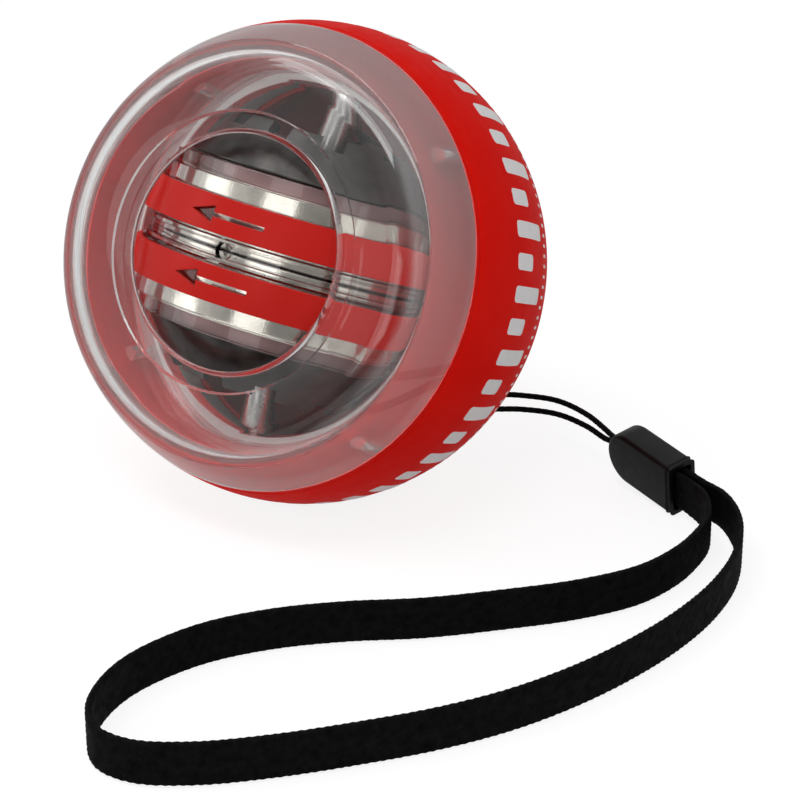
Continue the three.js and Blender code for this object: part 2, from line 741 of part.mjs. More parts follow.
function pawl(name, turn) {
  const bend = -PAWL_TIP_TURN_DEG * RAD;
  const tip = [PAWL_TIP_AT_R * Math.cos(bend) - PAWL_AT_R, PAWL_TIP_AT_R * Math.sin(bend)];
  const reach = Math.hypot(...tip);
  const side = [-tip[1] / reach, tip[0] / reach];
  const arm = plate([
    [side[0] * PAWL_HEAD_R, side[1] * PAWL_HEAD_R],
    [tip[0] + side[0] * PAWL_TIP_W / 2, tip[1] + side[1] * PAWL_TIP_W / 2],
    [tip[0] - side[0] * PAWL_TIP_W / 2, tip[1] - side[1] * PAWL_TIP_W / 2],
    [-side[0] * PAWL_HEAD_R, -side[1] * PAWL_HEAD_R],
  ], WHEEL_A, WHEEL_A + WHEEL_T);
  const head = rod(PAWL_HEAD_R, [0, 0, WHEEL_A], [0, 0, WHEEL_A + WHEEL_T]);
  const bore = rod(PAWL_BORE_R, [0, 0, WHEEL_A - RUN_GAP], [0, 0, WHEEL_A + WHEEL_T + RUN_GAP]);
  const shape = arm.add(head).subtract(bore);
  const place = rotorPlace.clone()
    .multiply(new THREE.Matrix4().makeRotationZ(turn))
    .multiply(new THREE.Matrix4().makeTranslation(PAWL_AT_R, 0, 0));
  return node(name, shape, brass(), place);
}

function pawlPin(name, turn) {
  const shape = turned([
    [0, PIN_HEAD_A],
    [PIN_HEAD_R, PIN_HEAD_A],
    [PIN_HEAD_R, PIN_HEAD_A + PIN_HEAD_T],
    [PIN_R, PIN_HEAD_A + PIN_HEAD_T],
    [PIN_R, CORE_END + DISC_WEB],
    [0, CORE_END + DISC_WEB],
  ], SMALL_STEPS);
  const place = rotorPlace.clone()
    .multiply(new THREE.Matrix4().makeRotationZ(turn))
    .multiply(new THREE.Matrix4().makeTranslation(PAWL_AT_R, 0, 0));
  return node(name, shape, steel(), place);
}

const vec = (list) => new THREE.Vector3(...list);
const connAlong = vec(CONN_ALONG).normalize();
const connUp = connAlong.clone().cross(vec(CONN_ACROSS)).normalize();
const connAcross = connUp.clone().cross(connAlong);

function connector() {
  const half = CONN_H / 2;
  const outline = new THREE.Shape();
  outline.moveTo(0, -half);
  outline.lineTo(0, half);
  outline.lineTo(half - CONN_L, half);
  outline.absarc(half - CONN_L, 0, half, HALF_TURN / 2, HALF_TURN * 3 / 2, false);
  outline.lineTo(0, -half);
  const geometry = new THREE.ExtrudeGeometry(outline, {
    depth: CONN_T - 2 * CONN_EDGE,
    bevelEnabled: true,
    bevelThickness: CONN_EDGE,
    bevelSize: CONN_EDGE,
    bevelOffset: -CONN_EDGE,
    bevelSegments: 2,
    curveSegments: 10,
  });
  geometry.translate(0, 0, CONN_EDGE - CONN_T / 2);
  const slot = new THREE.BoxGeometry(MOUTH_DEEP * 2, MOUTH_HIGH, MOUTH_WIDE);
  let shape = solid(geometry).subtract(solid(slot));
  const hole = rod(CORD_HOLE_R, [-CONN_L - RUN_GAP, 0, 0], [CORD_HOLE_DEEP - CONN_L, 0, 0]);
  shape = shape.subtract(hole);
  const place = floorPlace.clone()
    .multiply(new THREE.Matrix4().makeTranslation(...CONN_MOUTH))
    .multiply(new THREE.Matrix4().makeBasis(connAlong, connUp, connAcross.clone().negate()));
  return node('strap_connector', shape, blackPlastic(), place);
}

function cordCurve() {
  const { worldOut, worldTurn } = lugFrame();
  const pin = worldOut.clone().multiplyScalar(BALL_R - PIN_DEPTH).add(new THREE.Vector3(0, 0, BALL_R));
  const tip = vec(CONN_MOUTH).addScaledVector(connAlong, -CONN_L);
  const up = new THREE.Vector3(0, 0, 1);
  const strand = (sign) => {
    const points = [pin.clone().addScaledVector(worldTurn, sign * LOOP_R)];
    points.push(pin.clone().addScaledVector(worldTurn, sign * LOOP_R).addScaledVector(worldOut, POCKET_R));
    CORD_ROUTE.forEach((at, i) => {
      points.push(vec(at).addScaledVector(up, sign * CORD_SPREAD[i]));
    });
    points.push(tip.clone().addScaledVector(connAlong, -CORD_HOLE_DEEP)
      .addScaledVector(connUp, sign * CORD_END_SPREAD));
    points.push(tip.clone().addScaledVector(connAlong, CORD_HOLE_DEEP - RUN_GAP)
      .addScaledVector(connUp, sign * CORD_END_SPREAD));
    return points;
  };
  const turn = [];
  for (const deg of [60, 0, -60]) {
    turn.push(pin.clone()
      .addScaledVector(worldTurn, LOOP_R * Math.sin(deg * RAD))
      .addScaledVector(worldOut, -LOOP_R * Math.cos(deg * RAD)));
  }
  return new THREE.CatmullRomCurve3([...strand(1).reverse(), ...turn, ...strand(-1)], false, 'centripetal');
}

function wristCord() {
  const curve = cordCurve();
  const section = new THREE.Shape();
  for (let i = 0; i < CORD_SIDES; i += 1) {
    const turn = i * FULL_TURN / CORD_SIDES;
    const at = [CORD_R * Math.cos(turn), CORD_R * Math.sin(turn)];
    if (i === 0) {
      section.moveTo(...at);
    } else {
      section.lineTo(...at);
    }
  }
  const geometry = new THREE.ExtrudeGeometry(section, {
    steps: Math.round(curve.getLength() / CORD_STEP),
    extrudePath: curve,
    bevelEnabled: false,
  });
  return node('wrist_cord', solid(geometry), blackFabric(), floorPlace);
}

// the webbing stands on its edge, so its section keeps one side upright all the way round
function webbingLoop() {
  const mouth = vec(CONN_MOUTH);
  const end = (sign, along) => mouth.clone()
    .addScaledVector(connAlong, along)
    .addScaledVector(connAcross, sign * WEB_SPREAD);
  const inside = RUN_GAP - MOUTH_DEEP;
  const curve = new THREE.CatmullRomCurve3([
    end(-1, inside),
    end(-1, 0),
    end(-1, MOUTH_DEEP),
    ...WEB_ROUTE.map(vec),
    end(1, MOUTH_DEEP + WEB_T),
    end(1, 0),
    end(1, inside),
  ], false, 'centripetal');
  const length = curve.getLength();
  const count = Math.round(length / WEB_STEP);
  const corners = [[-1, -1], [1, -1], [1, 1], [-1, 1]];
  const place = [];
  const index = [];
  for (let i = 0; i <= count; i += 1) {
    const at = curve.getPointAt(i / count);
    const along = curve.getTangentAt(i / count);
    const near = length * Math.min(i, count - i) / count;
    const upright = connUp.clone().lerp(new THREE.Vector3(0, 0, 1), Math.min(near / WEB_UPRIGHT_AFTER, 1));
    const side = along.clone().cross(upright).normalize();
    const up = side.clone().cross(along).normalize();
    for (const [x, y] of corners) {
      const corner = at.clone()
        .addScaledVector(side, x * WEB_T / 2)
        .addScaledVector(up, y * WEB_W / 2);
      place.push(...corner.toArray());
    }
  }
  for (let i = 0; i < count; i += 1) {
    for (let k = 0; k < 4; k += 1) {
      const [a, b] = [4 * i + k, 4 * i + (k + 1) % 4];
      index.push(a, b, a + 4, b, b + 4, a + 4);
    }
  }
  const last = 4 * count;
  index.push(0, 2, 1, 0, 3, 2, last, last + 1, last + 2, last, last + 2, last + 3);
  const geometry = new THREE.BufferGeometry();
  geometry.setAttribute('position', new THREE.Float32BufferAttribute(place, 3));
  geometry.setIndex(index);
  return node('webbing_loop', solid(geometry), blackFabric(), floorPlace);
}

const part = new THREE.Group();
part.name = 'gyroscopic_wrist_ball';
part.add(
  upperShell(),
  lowerShell(),
  gripBand(),
  baseCap(),
  node('lanyard_pin', lugPin(LUG_PIN_R), steel(), ballPlace),
  carrierRing(),
  axle(),
  spacer('spacer_upper', 1),
  spacer('spacer_lower', -1),
  rotorCore(),
  rotorBand('rotor_band_upper', 1),
  rotorBand('rotor_band_lower', -1),
  weightRing('weight_ring_upper', 1),
  weightRing('weight_ring_lower', -1),
  endDisc('end_disc_upper', 1),
  endDisc('end_disc_lower', -1),
  springCase(),
  startSpring(),
  ratchetArbor(),
  pawl('pawl_one', 0),
  pawl('pawl_two', HALF_TURN),
  pawlPin('pawl_pin_one', 0),
  pawlPin('pawl_pin_two', HALF_TURN),
  wristCord(),
  connector(),
  webbingLoop(),
);

export default part;
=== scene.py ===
import math

import bmesh
import bpy
from mathutils import Matrix, Vector


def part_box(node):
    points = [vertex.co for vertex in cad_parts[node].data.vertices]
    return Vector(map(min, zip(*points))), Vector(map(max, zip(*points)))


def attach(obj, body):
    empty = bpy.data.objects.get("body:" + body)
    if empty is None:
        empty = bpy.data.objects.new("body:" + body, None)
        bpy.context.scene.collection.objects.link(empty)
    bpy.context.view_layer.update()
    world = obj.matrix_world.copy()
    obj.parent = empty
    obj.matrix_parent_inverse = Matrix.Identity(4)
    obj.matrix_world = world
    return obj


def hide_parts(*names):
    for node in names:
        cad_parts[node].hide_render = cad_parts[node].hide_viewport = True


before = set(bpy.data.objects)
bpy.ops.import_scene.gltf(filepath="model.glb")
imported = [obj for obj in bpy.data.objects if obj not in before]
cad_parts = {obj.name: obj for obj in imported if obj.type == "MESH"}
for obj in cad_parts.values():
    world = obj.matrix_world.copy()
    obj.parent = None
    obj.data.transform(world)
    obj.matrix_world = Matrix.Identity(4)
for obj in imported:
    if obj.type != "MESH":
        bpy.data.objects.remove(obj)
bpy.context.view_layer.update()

# lengths below are millimetres, as in the part's source, and turn into metres here
MM = 0.001
RAD = math.pi / 180

# the ball, measured along its axis (s) and out from it (r)
BALL_R = 37.0
AXIS_RISE_DEG = 23.34
RUN_GAP = 0.3
SEAT_GAP = 0.05
WALL = 2.4
SKIN_R = 35.4
BAND_FRONT_S = 11.8
BAND_BACK_S = -19.5
BAND_BOND = 0.02
TAPER_S = 7.5
FRONT_EDGE_T = 0.35
BEAD_AT = 0.9
BEAD_HALF = 0.14
BEAD_DEEP = 0.1
CROWN_TURN_DEG = 58
CROWN_R = 6.0
CREASE_HALF = 0.3
CREASE_DEEP = 0.12
CREASE_S = 19.3
CREASE_BLEND = 0.4
CROWN_CLEAR = 1.0
COLLAR_R = 20.6
COLLAR_S = 22.1
MOUTH_R = 17.5
MOUTH_S = 21.85
COLLAR_T = 0.8
COLLAR_DROP = 2.0
BASE_S = -31.0
RACE_IN_R = 27.4
RACE_WIDE_R = 29.7
TIP_RACE_R = 30.9
RACE_HALF_H = 2.5
TIP_RACE_HALF_H = 1.5
SHELF_S = 4.9
POST_R = 1.3
POST_AT_R = 32.75
POST_COUNT = 4
POST_FIRST_DEG = 40.4
POST_TOP_S = 7.0
CAP_R = 11.0
CAP_T = 1.6
CAP_LIP_R = 12.6
CAP_DISH_R = 8.0
CAP_DISH_DEEP = 0.3
CAP_DISH_SLOPE = 0.4
RING_IN_R = 27.8
RING_OUT_R = 29.4
RING_HALF_H = 2.2

# the plain marks printed round the grip band
BAR_COUNT = 48
BAR_W = 2.5
BAR_HIGH_S = 1.8
BAR_LOW_S = -7.4
BAR_SHORT_S = -3.4
TICK_COUNT = 144
TICK_W = 0.5
TICK_HIGH_S = -9.4
TICK_LOW_S = -10.8
MARK_SUNK = 0.03
MARK_PROUD = 0.04
BAR_ROUND = 0.6
TICK_ROUND = 0.15

# the rotor, measured along its axle (a) and out from it (r)
AXLE_ANGLE_DEG = 85.3
AXLE_R = 1.6
TIP_R = 1.2
TIP_END = 30.5
AXLE_BODY_END = 16.2
BORE_R = 1.7
BAND_IN = 2.25
BAND_OUT = 7.6
ROTOR_BAND_R = 26.1
ROTOR_BAND_EDGE_R = 25.6
ROTOR_BAND_T = 0.8
CHANNEL_R = 24.9
GROOVE_R = 24.2
GROOVE_HALF = 1.0
STEP1_R = 24.6
STEP1_A = 10.2
STEP2_R = 23.4
CORE_END = 12.5
WEB_HALF = 0.1
WEIGHT_R = 22.2
WEIGHT_BORE_R = 16.0
WEIGHT_STEP_R = 19.8
# pinkish grey painted on the weight rings' neck: a painted reflection of the red parts around it
NECK_REFLECTED_RED = (0.3, 0.17, 0.17)
HUB_R = 4.0
HUB_END = 2.0
HUB_LOW_END = 12.0
START_HOLE_R = 1.3
START_HOLE_DEPTH = 1.9
ARROW_A = 4.8
ARROW_TIP = -6.5
ARROW_NECK = -2.2
ARROW_TAIL = 6.3
ARROW_HEAD_HALF = 1.35
ARROW_SHAFT_HALF = 0.35
DISC_R = 21.8
DISC_END_R = 16.2
DISC_END = 20.2
DISC_WEB = 1.5
DISC_WALL = 1.6
DISC_HUB_R = 3.4
NOTCH_COUNT = 12
NOTCH_W = 3.6
NOTCH_DEPTH = 1.8
PAWL_PIN_AT_R = 11.5
PAWL_PIN_R = 0.8
SPACER_R = 2.6

# the strap
LUG_DIR = (0.42, 0.55, -0.722)
LUG_BOSS_R = 5.2
LUG_BOSS_IN = 30.4
POCKET_R = 3.1
POCKET_DEPTH = 4.6
PIN_DEPTH = 2.3
LUG_PIN_R = 0.75
LUG_PIN_HALF = 4.3
CORD_R = 0.45
LOOP_R = 1.4
CONN_L = 15.5
CONN_H = 8.8
CONN_T = 4.8
MOUTH_DEEP = 3.0
MOUTH_HIGH = 7.2
MOUTH_WIDE = 3.4
CORD_HOLE_R = 1.35
CORD_HOLE_DEEP = 1.6
WEB_W = 6.6
WEB_T = 1.0
CONN_MOUTH = (56.4, 18.7, 4.75)
CONN_ALONG = (0.910, -0.403, -0.098)
CONN_ACROSS = (0.414, 0.896, 0.172)
CORD_ROUTE = [
    (18.6, 24.6, 8.1), (23.0, 28.4, 7.4), (28.6, 30.0, 7.2), (34.6, 28.7, 6.9), (39.2, 26.4, 6.5),
]
CORD_SPREAD = (1.35, 1.25, 1.2, 1.05, 0.8)
CORD_END_SPREAD = 0.6
WEB_SPREAD = 0.75
WEB_UPRIGHT_AFTER = 16
WEB_Z = 3.4
WEB_ROUTE = [
    (62.3, 14.2, 4.2), (65.0, 9.2, 3.7), (65.6, 3.2, WEB_Z), (65.2, -3.2, WEB_Z), (63.0, -10.6, WEB_Z),
    (57.4, -18.8, WEB_Z), (49.4, -27.0, WEB_Z), (41.1, -34.6, WEB_Z), (32.0, -41.2, WEB_Z),
    (24.6, -47.9, WEB_Z), (18.9, -55.4, WEB_Z), (15.8, -62.8, WEB_Z), (14.6, -69.4, WEB_Z),
    (15.2, -75.6, WEB_Z), (17.4, -81.2, WEB_Z), (21.6, -85.2, WEB_Z), (27.4, -85.6, WEB_Z),
    (34.6, -82.0, WEB_Z), (42.6, -75.2, WEB_Z), (50.6, -66.8, WEB_Z), (57.4, -58.8, WEB_Z),
    (63.4, -49.8, WEB_Z), (68.0, -40.0, WEB_Z), (71.4, -29.6, WEB_Z), (73.6, -18.8, WEB_Z),
    (74.2, -8.0, WEB_Z), (72.8, 2.2, WEB_Z), (69.6, 10.2, 4.0), (65.2, 15.0, 4.6),
]

# the studio: levels are shares of white, and the dark side is where the room is behind the photographer
FILL_LEVEL = 0.42
STUDIO_LEVEL = 0.68
DARK_LEVEL = 0.25
DARK_SIDE = (0.5, -0.86, 0.1)
FLOOR_LIT = 0.24
FLOOR_GLOW = 0.85

# the camera, in metres and millimetres of lens, as fitted to the photo
LENS = 117.2
SENSOR = 36
CAMERA_AT = (0.2017633, -0.3146111, 0.1869471)
CAMERA_BACK = (0.461973, -0.779727, 0.422618)

# the ball's centre lies at the middle of the carrier ring, which is the same on all sides
ring_low, ring_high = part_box("carrier_ring")
centre = (ring_low + ring_high) / 2 / MM
rise = AXIS_RISE_DEG * RAD
ball_place = Matrix((
    (1, 0, 0, centre.x),
    (0, math.sin(rise), -math.cos(rise), centre.y),
    (0, math.cos(rise), math.sin(rise), centre.z),
    (0, 0, 0, 1),
))
axle_turn = AXLE_ANGLE_DEG * RAD
rotor_place = ball_place @ Matrix((
    (0, math.sin(axle_turn), math.cos(axle_turn), 0),
    (0, -math.cos(axle_turn), math.sin(axle_turn), 0),
    (1, 0, 0, 0),
    (0, 0, 0, 1),
))
floor_place = Matrix.Translation((0, centre.y, 0))


def add_camera():
    data = bpy.data.cameras.new("camera")
    data.sensor_width = SENSOR
    data.lens = LENS
    data.clip_start = 0.01
    data.clip_end = 20
    camera = bpy.data.objects.new("camera", data)
    bpy.context.scene.collection.objects.link(camera)
    back = Vector(CAMERA_BACK).normalized()
    camera.rotation_mode = "QUATERNION"
    camera.rotation_quaternion = (-back).to_track_quat("-Z", "Y")
    camera.location = CAMERA_AT
    bpy.context.scene.camera = camera


# curves that the limp parts follow
def spline(points, per_span):
    """Centripetal Catmull-Rom through the points, as a list of close points."""
    points = [Vector(p) for p in points]
    ends = [2 * points[0] - points[1], *points, 2 * points[-1] - points[-2]]
    line = []
    for p0, p1, p2, p3 in zip(ends, ends[1:], ends[2:], ends[3:]):
        d0, d1, d2 = (max((b - a).length ** 0.5, 1e-4) for a, b in ((p0, p1), (p1, p2), (p2, p3)))
        t1 = ((p1 - p0) / d0 - (p2 - p0) / (d0 + d1) + (p2 - p1) / d1) * d1
        t2 = ((p2 - p1) / d1 - (p3 - p1) / (d1 + d2) + (p3 - p2) / d2) * d1
        for i in range(per_span):
            t = i / per_span
            line.append(
                (2 * t ** 3 - 3 * t ** 2 + 1) * p1 + (t ** 3 - 2 * t ** 2 + t) * t1
                + (3 * t ** 2 - 2 * t ** 3) * p2 + (t ** 3 - t ** 2) * t2)
    line.append(points[-1])
    return line


def even(line, step):
    """The same line with points at even distances."""
    reach = [0.0]
    for a, b in zip(line, line[1:]):
        reach.append(reach[-1] + (b - a).length)
    count = max(2, round(reach[-1] / step))
    made = []
    k = 0
    for i in range(count + 1):
        want = reach[-1] * i / count
        while k < len(reach) - 2 and reach[k + 1] < want:
            k += 1
        share = (want - reach[k]) / max(reach[k + 1] - reach[k], 1e-9)
        made.append(line[k].lerp(line[k + 1], min(max(share, 0), 1)))
    return made, reach[-1]


conn_along = Vector(CONN_ALONG).normalized()
conn_up = conn_along.cross(Vector(CONN_ACROSS)).normalized()
conn_across = conn_up.cross(conn_along)
lug_out = Vector(LUG_DIR).normalized()
lug_across = Vector((lug_out.y, -lug_out.x, 0)).normalized()
lug_turn = lug_across.cross(lug_out)


def cord_line():
    pin = lug_out * (BALL_R - PIN_DEPTH) + Vector((0, 0, BALL_R))
    tip = Vector(CONN_MOUTH) - conn_along * CONN_L

    def strand(sign):
        start = pin + lug_turn * sign * LOOP_R
        points = [start, start + lug_out * POCKET_R]
        points += [Vector(p) + Vector((0, 0, sign * w)) for p, w in zip(CORD_ROUTE, CORD_SPREAD)]
        side = conn_up * sign * CORD_END_SPREAD
        reach = CORD_HOLE_DEEP - RUN_GAP
        points += [tip - conn_along * CORD_HOLE_DEEP + side, tip + conn_along * reach + side]
        return points

    turn = [
        pin + lug_turn * LOOP_R * math.sin(deg * RAD) - lug_out * LOOP_R * math.cos(deg * RAD)
        for deg in (60, 0, -60)
    ]
    return spline([*reversed(strand(1)), *turn, *strand(-1)], 24)


def webbing_line():
    mouth = Vector(CONN_MOUTH)

    def end(sign, along):
        return mouth + conn_along * along + conn_across * sign * WEB_SPREAD

    inside = RUN_GAP - MOUTH_DEEP
    return spline([
        end(-1, inside), end(-1, 0), end(-1, MOUTH_DEEP),
        *WEB_ROUTE,
        end(1, MOUTH_DEEP + WEB_T), end(1, 0), end(1, inside),
    ], 24)


# meshes
def make(name, verts, faces, place=Matrix.Identity(4), sharp_deg=32):
    mesh = bpy.data.meshes.new(name)
    mesh.from_pydata([(place @ Vector(v)) * MM for v in verts], [], faces)
    tidy = bmesh.new()
    tidy.from_mesh(mesh)
    bmesh.ops.remove_doubles(tidy, verts=tidy.verts, dist=1e-7)
    bmesh.ops.recalc_face_normals(tidy, faces=tidy.faces)
    tidy.to_mesh(mesh)
    tidy.free()
    smooth(mesh, sharp_deg)
    obj = bpy.data.objects.new(name, mesh)
    bpy.context.scene.collection.objects.link(obj)
    return obj


def smooth(mesh, sharp_deg):
    mesh.polygons.foreach_set("use_smooth", [True] * len(mesh.polygons))
    mesh.set_sharp_from_angle(angle=sharp_deg * RAD)
    mesh.update()


def arc(radius, from_deg, to_deg, count, centre_r=0.0, centre_s=0.0):
    """Points [r, s] on a circle in the profile plane, with angles measured from the axis."""
    angles = [(from_deg + (to_deg - from_deg) * i / count) * RAD for i in range(count + 1)]
    return [(centre_r + radius * math.sin(a), centre_s + radius * math.cos(a)) for a in angles]


def tilt(radius, s):
    return math.acos(s / radius) / RAD


def softened(points, steps=4):
    """A closed profile whose points with a third number are rounded by that radius."""
    made = []
    for i, point in enumerate(points):
        here = Vector(point[:2])
        if len(point) < 3:
            made.append(tuple(here))
            continue
        back = (Vector(points[i - 1][:2]) - here)
        on = (Vector(points[(i + 1) % len(points)][:2]) - here)
        half = back.angle(on) / 2
        reach = min(point[2] / math.tan(half), back.length * 0.48, on.length * 0.48)
        radius = reach * math.tan(half)
        a, b = here + back.normalized() * reach, here + on.normalized() * reach
        middle = here + (back.normalized() + on.normalized()).normalized() * radius / math.sin(half)
        for k in range(steps + 1):
            spot = a.lerp(b, k / steps) - middle
            made.append(tuple(middle + spot.normalized() * radius))
    return made


def lathe(name, profile, steps, place, sharp_deg=32):
    """Turns a profile of [r, s] points about the local Z axis; it closes on itself or ends on the axis."""
    closed = profile[0][0] > 1e-6
    verts, rings = [], []
    for r, s in profile:
        if r < 1e-6:
            rings.append([len(verts)] * steps)
            verts.append((0, 0, s))
        else:
            rings.append(list(range(len(verts), len(verts) + steps)))
            verts += [
                (r * math.cos(2 * math.pi * j / steps), r * math.sin(2 * math.pi * j / steps), s)
                for j in range(steps)
            ]
    faces = []
    pairs = list(zip(rings, rings[1:])) + ([(rings[-1], rings[0])] if closed else [])
    for one, two in pairs:
        for j in range(steps):
            k = (j + 1) % steps
            face = [one[j], one[k], two[k], two[j]]
            face = [v for i, v in enumerate(face) if v not in face[:i]]
            if len(face) > 2:
                faces.append(face)
    return make(name, verts, faces, place, sharp_deg)


def rod(name, radius, start, end, steps=48, place=Matrix.Identity(4), edge=0.0):
    start, end = Vector(start), Vector(end)
    length = (end - start).length
    turn = (end - start).to_track_quat("Z", "Y").to_matrix().to_4x4()
    profile = [(0, 0), (radius, 0), (radius, length), (0, length)]
    if edge:
        slim = radius - edge
        profile = [(0, 0), (slim, 0), (radius, edge), (radius, length - edge), (slim, length), (0, length)]
    return lathe(name, profile, steps, place @ Matrix.Translation(start) @ turn)


def plate(name, outline, low, high, place=Matrix.Identity(4)):
    """A flat outline pushed along Z from one level to another."""
    count = len(outline)
    verts = [(x, y, low) for x, y in outline] + [(x, y, high) for x, y in outline]
    faces = [list(range(count)), list(range(2 * count - 1, count - 1, -1))]
    faces += [[i, (i + 1) % count, count + (i + 1) % count, count + i] for i in range(count)]
    return make(name, verts, faces, place)


def combine(obj, tool, operation, sharp_deg=32):
    modifier = obj.modifiers.new("cut", "BOOLEAN")
    modifier.operation = operation
    modifier.solver = "EXACT"
    modifier.object = tool
    bpy.context.view_layer.update()
    graph = bpy.context.evaluated_depsgraph_get()
    mesh = bpy.data.meshes.new_from_object(obj.evaluated_get(graph))
    obj.modifiers.clear()
    obj.data = mesh
    smooth(mesh, sharp_deg)
    bpy.data.objects.remove(tool)
    return obj


def cut(obj, tool):
    return combine(obj, tool, "DIFFERENCE")


def join(obj, tool):
    return combine(obj, tool, "UNION")


# materials
def material(name, colour=(0.8, 0.8, 0.8), roughness=0.5, metallic=0.0, **sockets):
    mat = bpy.data.materials.new(name)
    mat.use_nodes = True
    bsdf = mat.node_tree.nodes["Principled BSDF"]
    bsdf.inputs["Base Color"].default_value = (*colour, 1)
    bsdf.inputs["Roughness"].default_value = roughness
    bsdf.inputs["Metallic"].default_value = metallic
    for key, value in sockets.items():
        bsdf.inputs[key.replace("_", " ")].default_value = value
    return mat


def node(mat, kind, **settings):
    made = mat.node_tree.nodes.new(kind)
    for key, value in settings.items():
        if key in made.inputs:
            made.inputs[key].default_value = value
        else:
            setattr(made, key, value)
    return made


def link(mat, out, into):
    mat.node_tree.links.new(out, into)


def coordinates(mat, stretch=(1, 1, 1)):
    place = node(mat, "ShaderNodeTexCoord")
    mapping = node(mat, "ShaderNodeMapping")
    mapping.inputs["Scale"].default_value = stretch
    link(mat, place.outputs["Object"], mapping.inputs["Vector"])
    return mapping.outputs["Vector"]


def grain(mat, scale, detail=3.0, stretch=(1, 1, 1)):
    made = node(mat, "ShaderNodeTexNoise", Scale=scale, Detail=detail)
    link(mat, coordinates(mat, stretch), made.inputs["Vector"])
    return made.outputs["Fac"]


def ranged(mat, value, low, high):
    made = node(mat, "ShaderNodeMapRange")
    made.inputs["From Min"].default_value = 0.3
    made.inputs["From Max"].default_value = 0.7
    made.inputs["To Min"].default_value = low
    made.inputs["To Max"].default_value = high
    link(mat, value, made.inputs["Value"])
    return made.outputs["Result"]


def tinted(mat, value, dark, pale):
    ramp = node(mat, "ShaderNodeValToRGB")
    ramp.color_ramp.elements[0].position = 0.3
    ramp.color_ramp.elements[0].color = (*dark, 1)
    ramp.color_ramp.elements[1].position = 0.7
    ramp.color_ramp.elements[1].color = (*pale, 1)
    link(mat, value, ramp.inputs["Fac"])
    return ramp.outputs["Color"]


def bumped(mat, height, strength, distance):
    made = node(mat, "ShaderNodeBump", Strength=strength, Distance=distance)
    link(mat, height, made.inputs["Height"])
    link(mat, made.outputs["Normal"], mat.node_tree.nodes["Principled BSDF"].inputs["Normal"])


def surfaced(mat, colour_noise=None, roughness_noise=None, bump=None):
    """Adds the grain that a moulded, brushed or printed surface has: colour, gloss and relief."""
    bsdf = mat.node_tree.nodes["Principled BSDF"]
    if colour_noise:
        scale, dark, pale = colour_noise
        link(mat, tinted(mat, grain(mat, scale), dark, pale), bsdf.inputs["Base Color"])
    if roughness_noise:
        scale, low, high = roughness_noise
        link(mat, ranged(mat, grain(mat, scale), low, high), bsdf.inputs["Roughness"])
    if bump:
        scale, strength, distance = bump
        bumped(mat, grain(mat, scale), strength, distance)
    return mat


def faded(mat, value, start, end, low, high):
    """A smooth change from low to high as the value goes from start to end."""
    made = node(mat, "ShaderNodeMapRange", interpolation_type="SMOOTHSTEP")
    for key, number in (("From Min", start), ("From Max", end)):
        made.inputs[key].default_value = number
    for key, source in (("To Min", low), ("To Max", high)):
        if isinstance(source, (int, float)):
            made.inputs[key].default_value = source
        else:
            link(mat, source, made.inputs[key])
    link(mat, value, made.inputs["Value"])
    return made.outputs["Result"]


def clear_plastic(name, thick_clear=1.0):
    """Clear plastic; below the crease the wall lets through the share thick_clear, the rest is a milky white
    haze, painted in for the reflections inside the thick wall.
    """
    mat = material(name, (0.96, 0.96, 0.957), 0.015, Transmission_Weight=1.0, IOR=1.49)
    surfaced(mat, roughness_noise=(90, 0.005, 0.025), bump=(45, 0.02, 0.0003))
    # below the crease a white diffuse share is painted in: a painted reflection of the light inside the thick
    # wall
    if thick_clear < 1:
        place = node(mat, "ShaderNodeTexCoord")
        along = node(mat, "ShaderNodeVectorMath", operation="DOT_PRODUCT")
        along.inputs[1].default_value = ball_place.to_3x3().col[2]
        link(mat, place.outputs["Object"], along.inputs[0])
        crease_s = ball_place.to_3x3().col[2].dot(centre) * MM + CREASE_S * MM
        near, far = crease_s - CREASE_BLEND * MM, crease_s + CREASE_BLEND * MM
        part = faded(mat, along.outputs["Value"], near, far, thick_clear, CROWN_CLEAR)
        link(mat, part, mat.node_tree.nodes["Principled BSDF"].inputs["Transmission Weight"])
    path = node(mat, "ShaderNodeLightPath")
    through = node(mat, "ShaderNodeBsdfTransparent")
    through.inputs["Color"].default_value = (1, 1, 1, 1)
    mix = node(mat, "ShaderNodeMixShader")
    link(mat, path.outputs["Is Shadow Ray"], mix.inputs["Fac"])
    link(mat, mat.node_tree.nodes["Principled BSDF"].outputs["BSDF"], mix.inputs[1])
    link(mat, through.outputs["BSDF"], mix.inputs[2])
    link(mat, mix.outputs["Shader"], mat.node_tree.nodes["Material Output"].inputs["Surface"])
    return mat


def turned(mat):
    """Coordinates round the rotor's axle, [out, 0, along], so that noise on them makes rings."""
    place = node(mat, "ShaderNodeTexCoord")
    back = Matrix.Translation(rotor_place.to_translation() * MM) @ rotor_place.to_3x3().to_4x4()
    back.invert()
    mapping = node(mat, "ShaderNodeMapping")
    mapping.inputs["Location"].default_value = back.to_translation()
    mapping.inputs["Rotation"].default_value = back.to_euler()
    link(mat, place.outputs["Object"], mapping.inputs["Vector"])
    split = node(mat, "ShaderNodeSeparateXYZ")
    link(mat, mapping.outputs["Vector"], split.inputs["Vector"])
    flat = node(mat, "ShaderNodeCombineXYZ")
    link(mat, split.outputs["X"], flat.inputs["X"])
    link(mat, split.outputs["Y"], flat.inputs["Y"])
    out = node(mat, "ShaderNodeVectorMath", operation="LENGTH")
    link(mat, flat.outputs["Vector"], out.inputs[0])
    made = node(mat, "ShaderNodeCombineXYZ")
    link(mat, out.outputs["Value"], made.inputs["X"])
    link(mat, split.outputs["Z"], made.inputs["Z"])
    return made.outputs["Vector"]


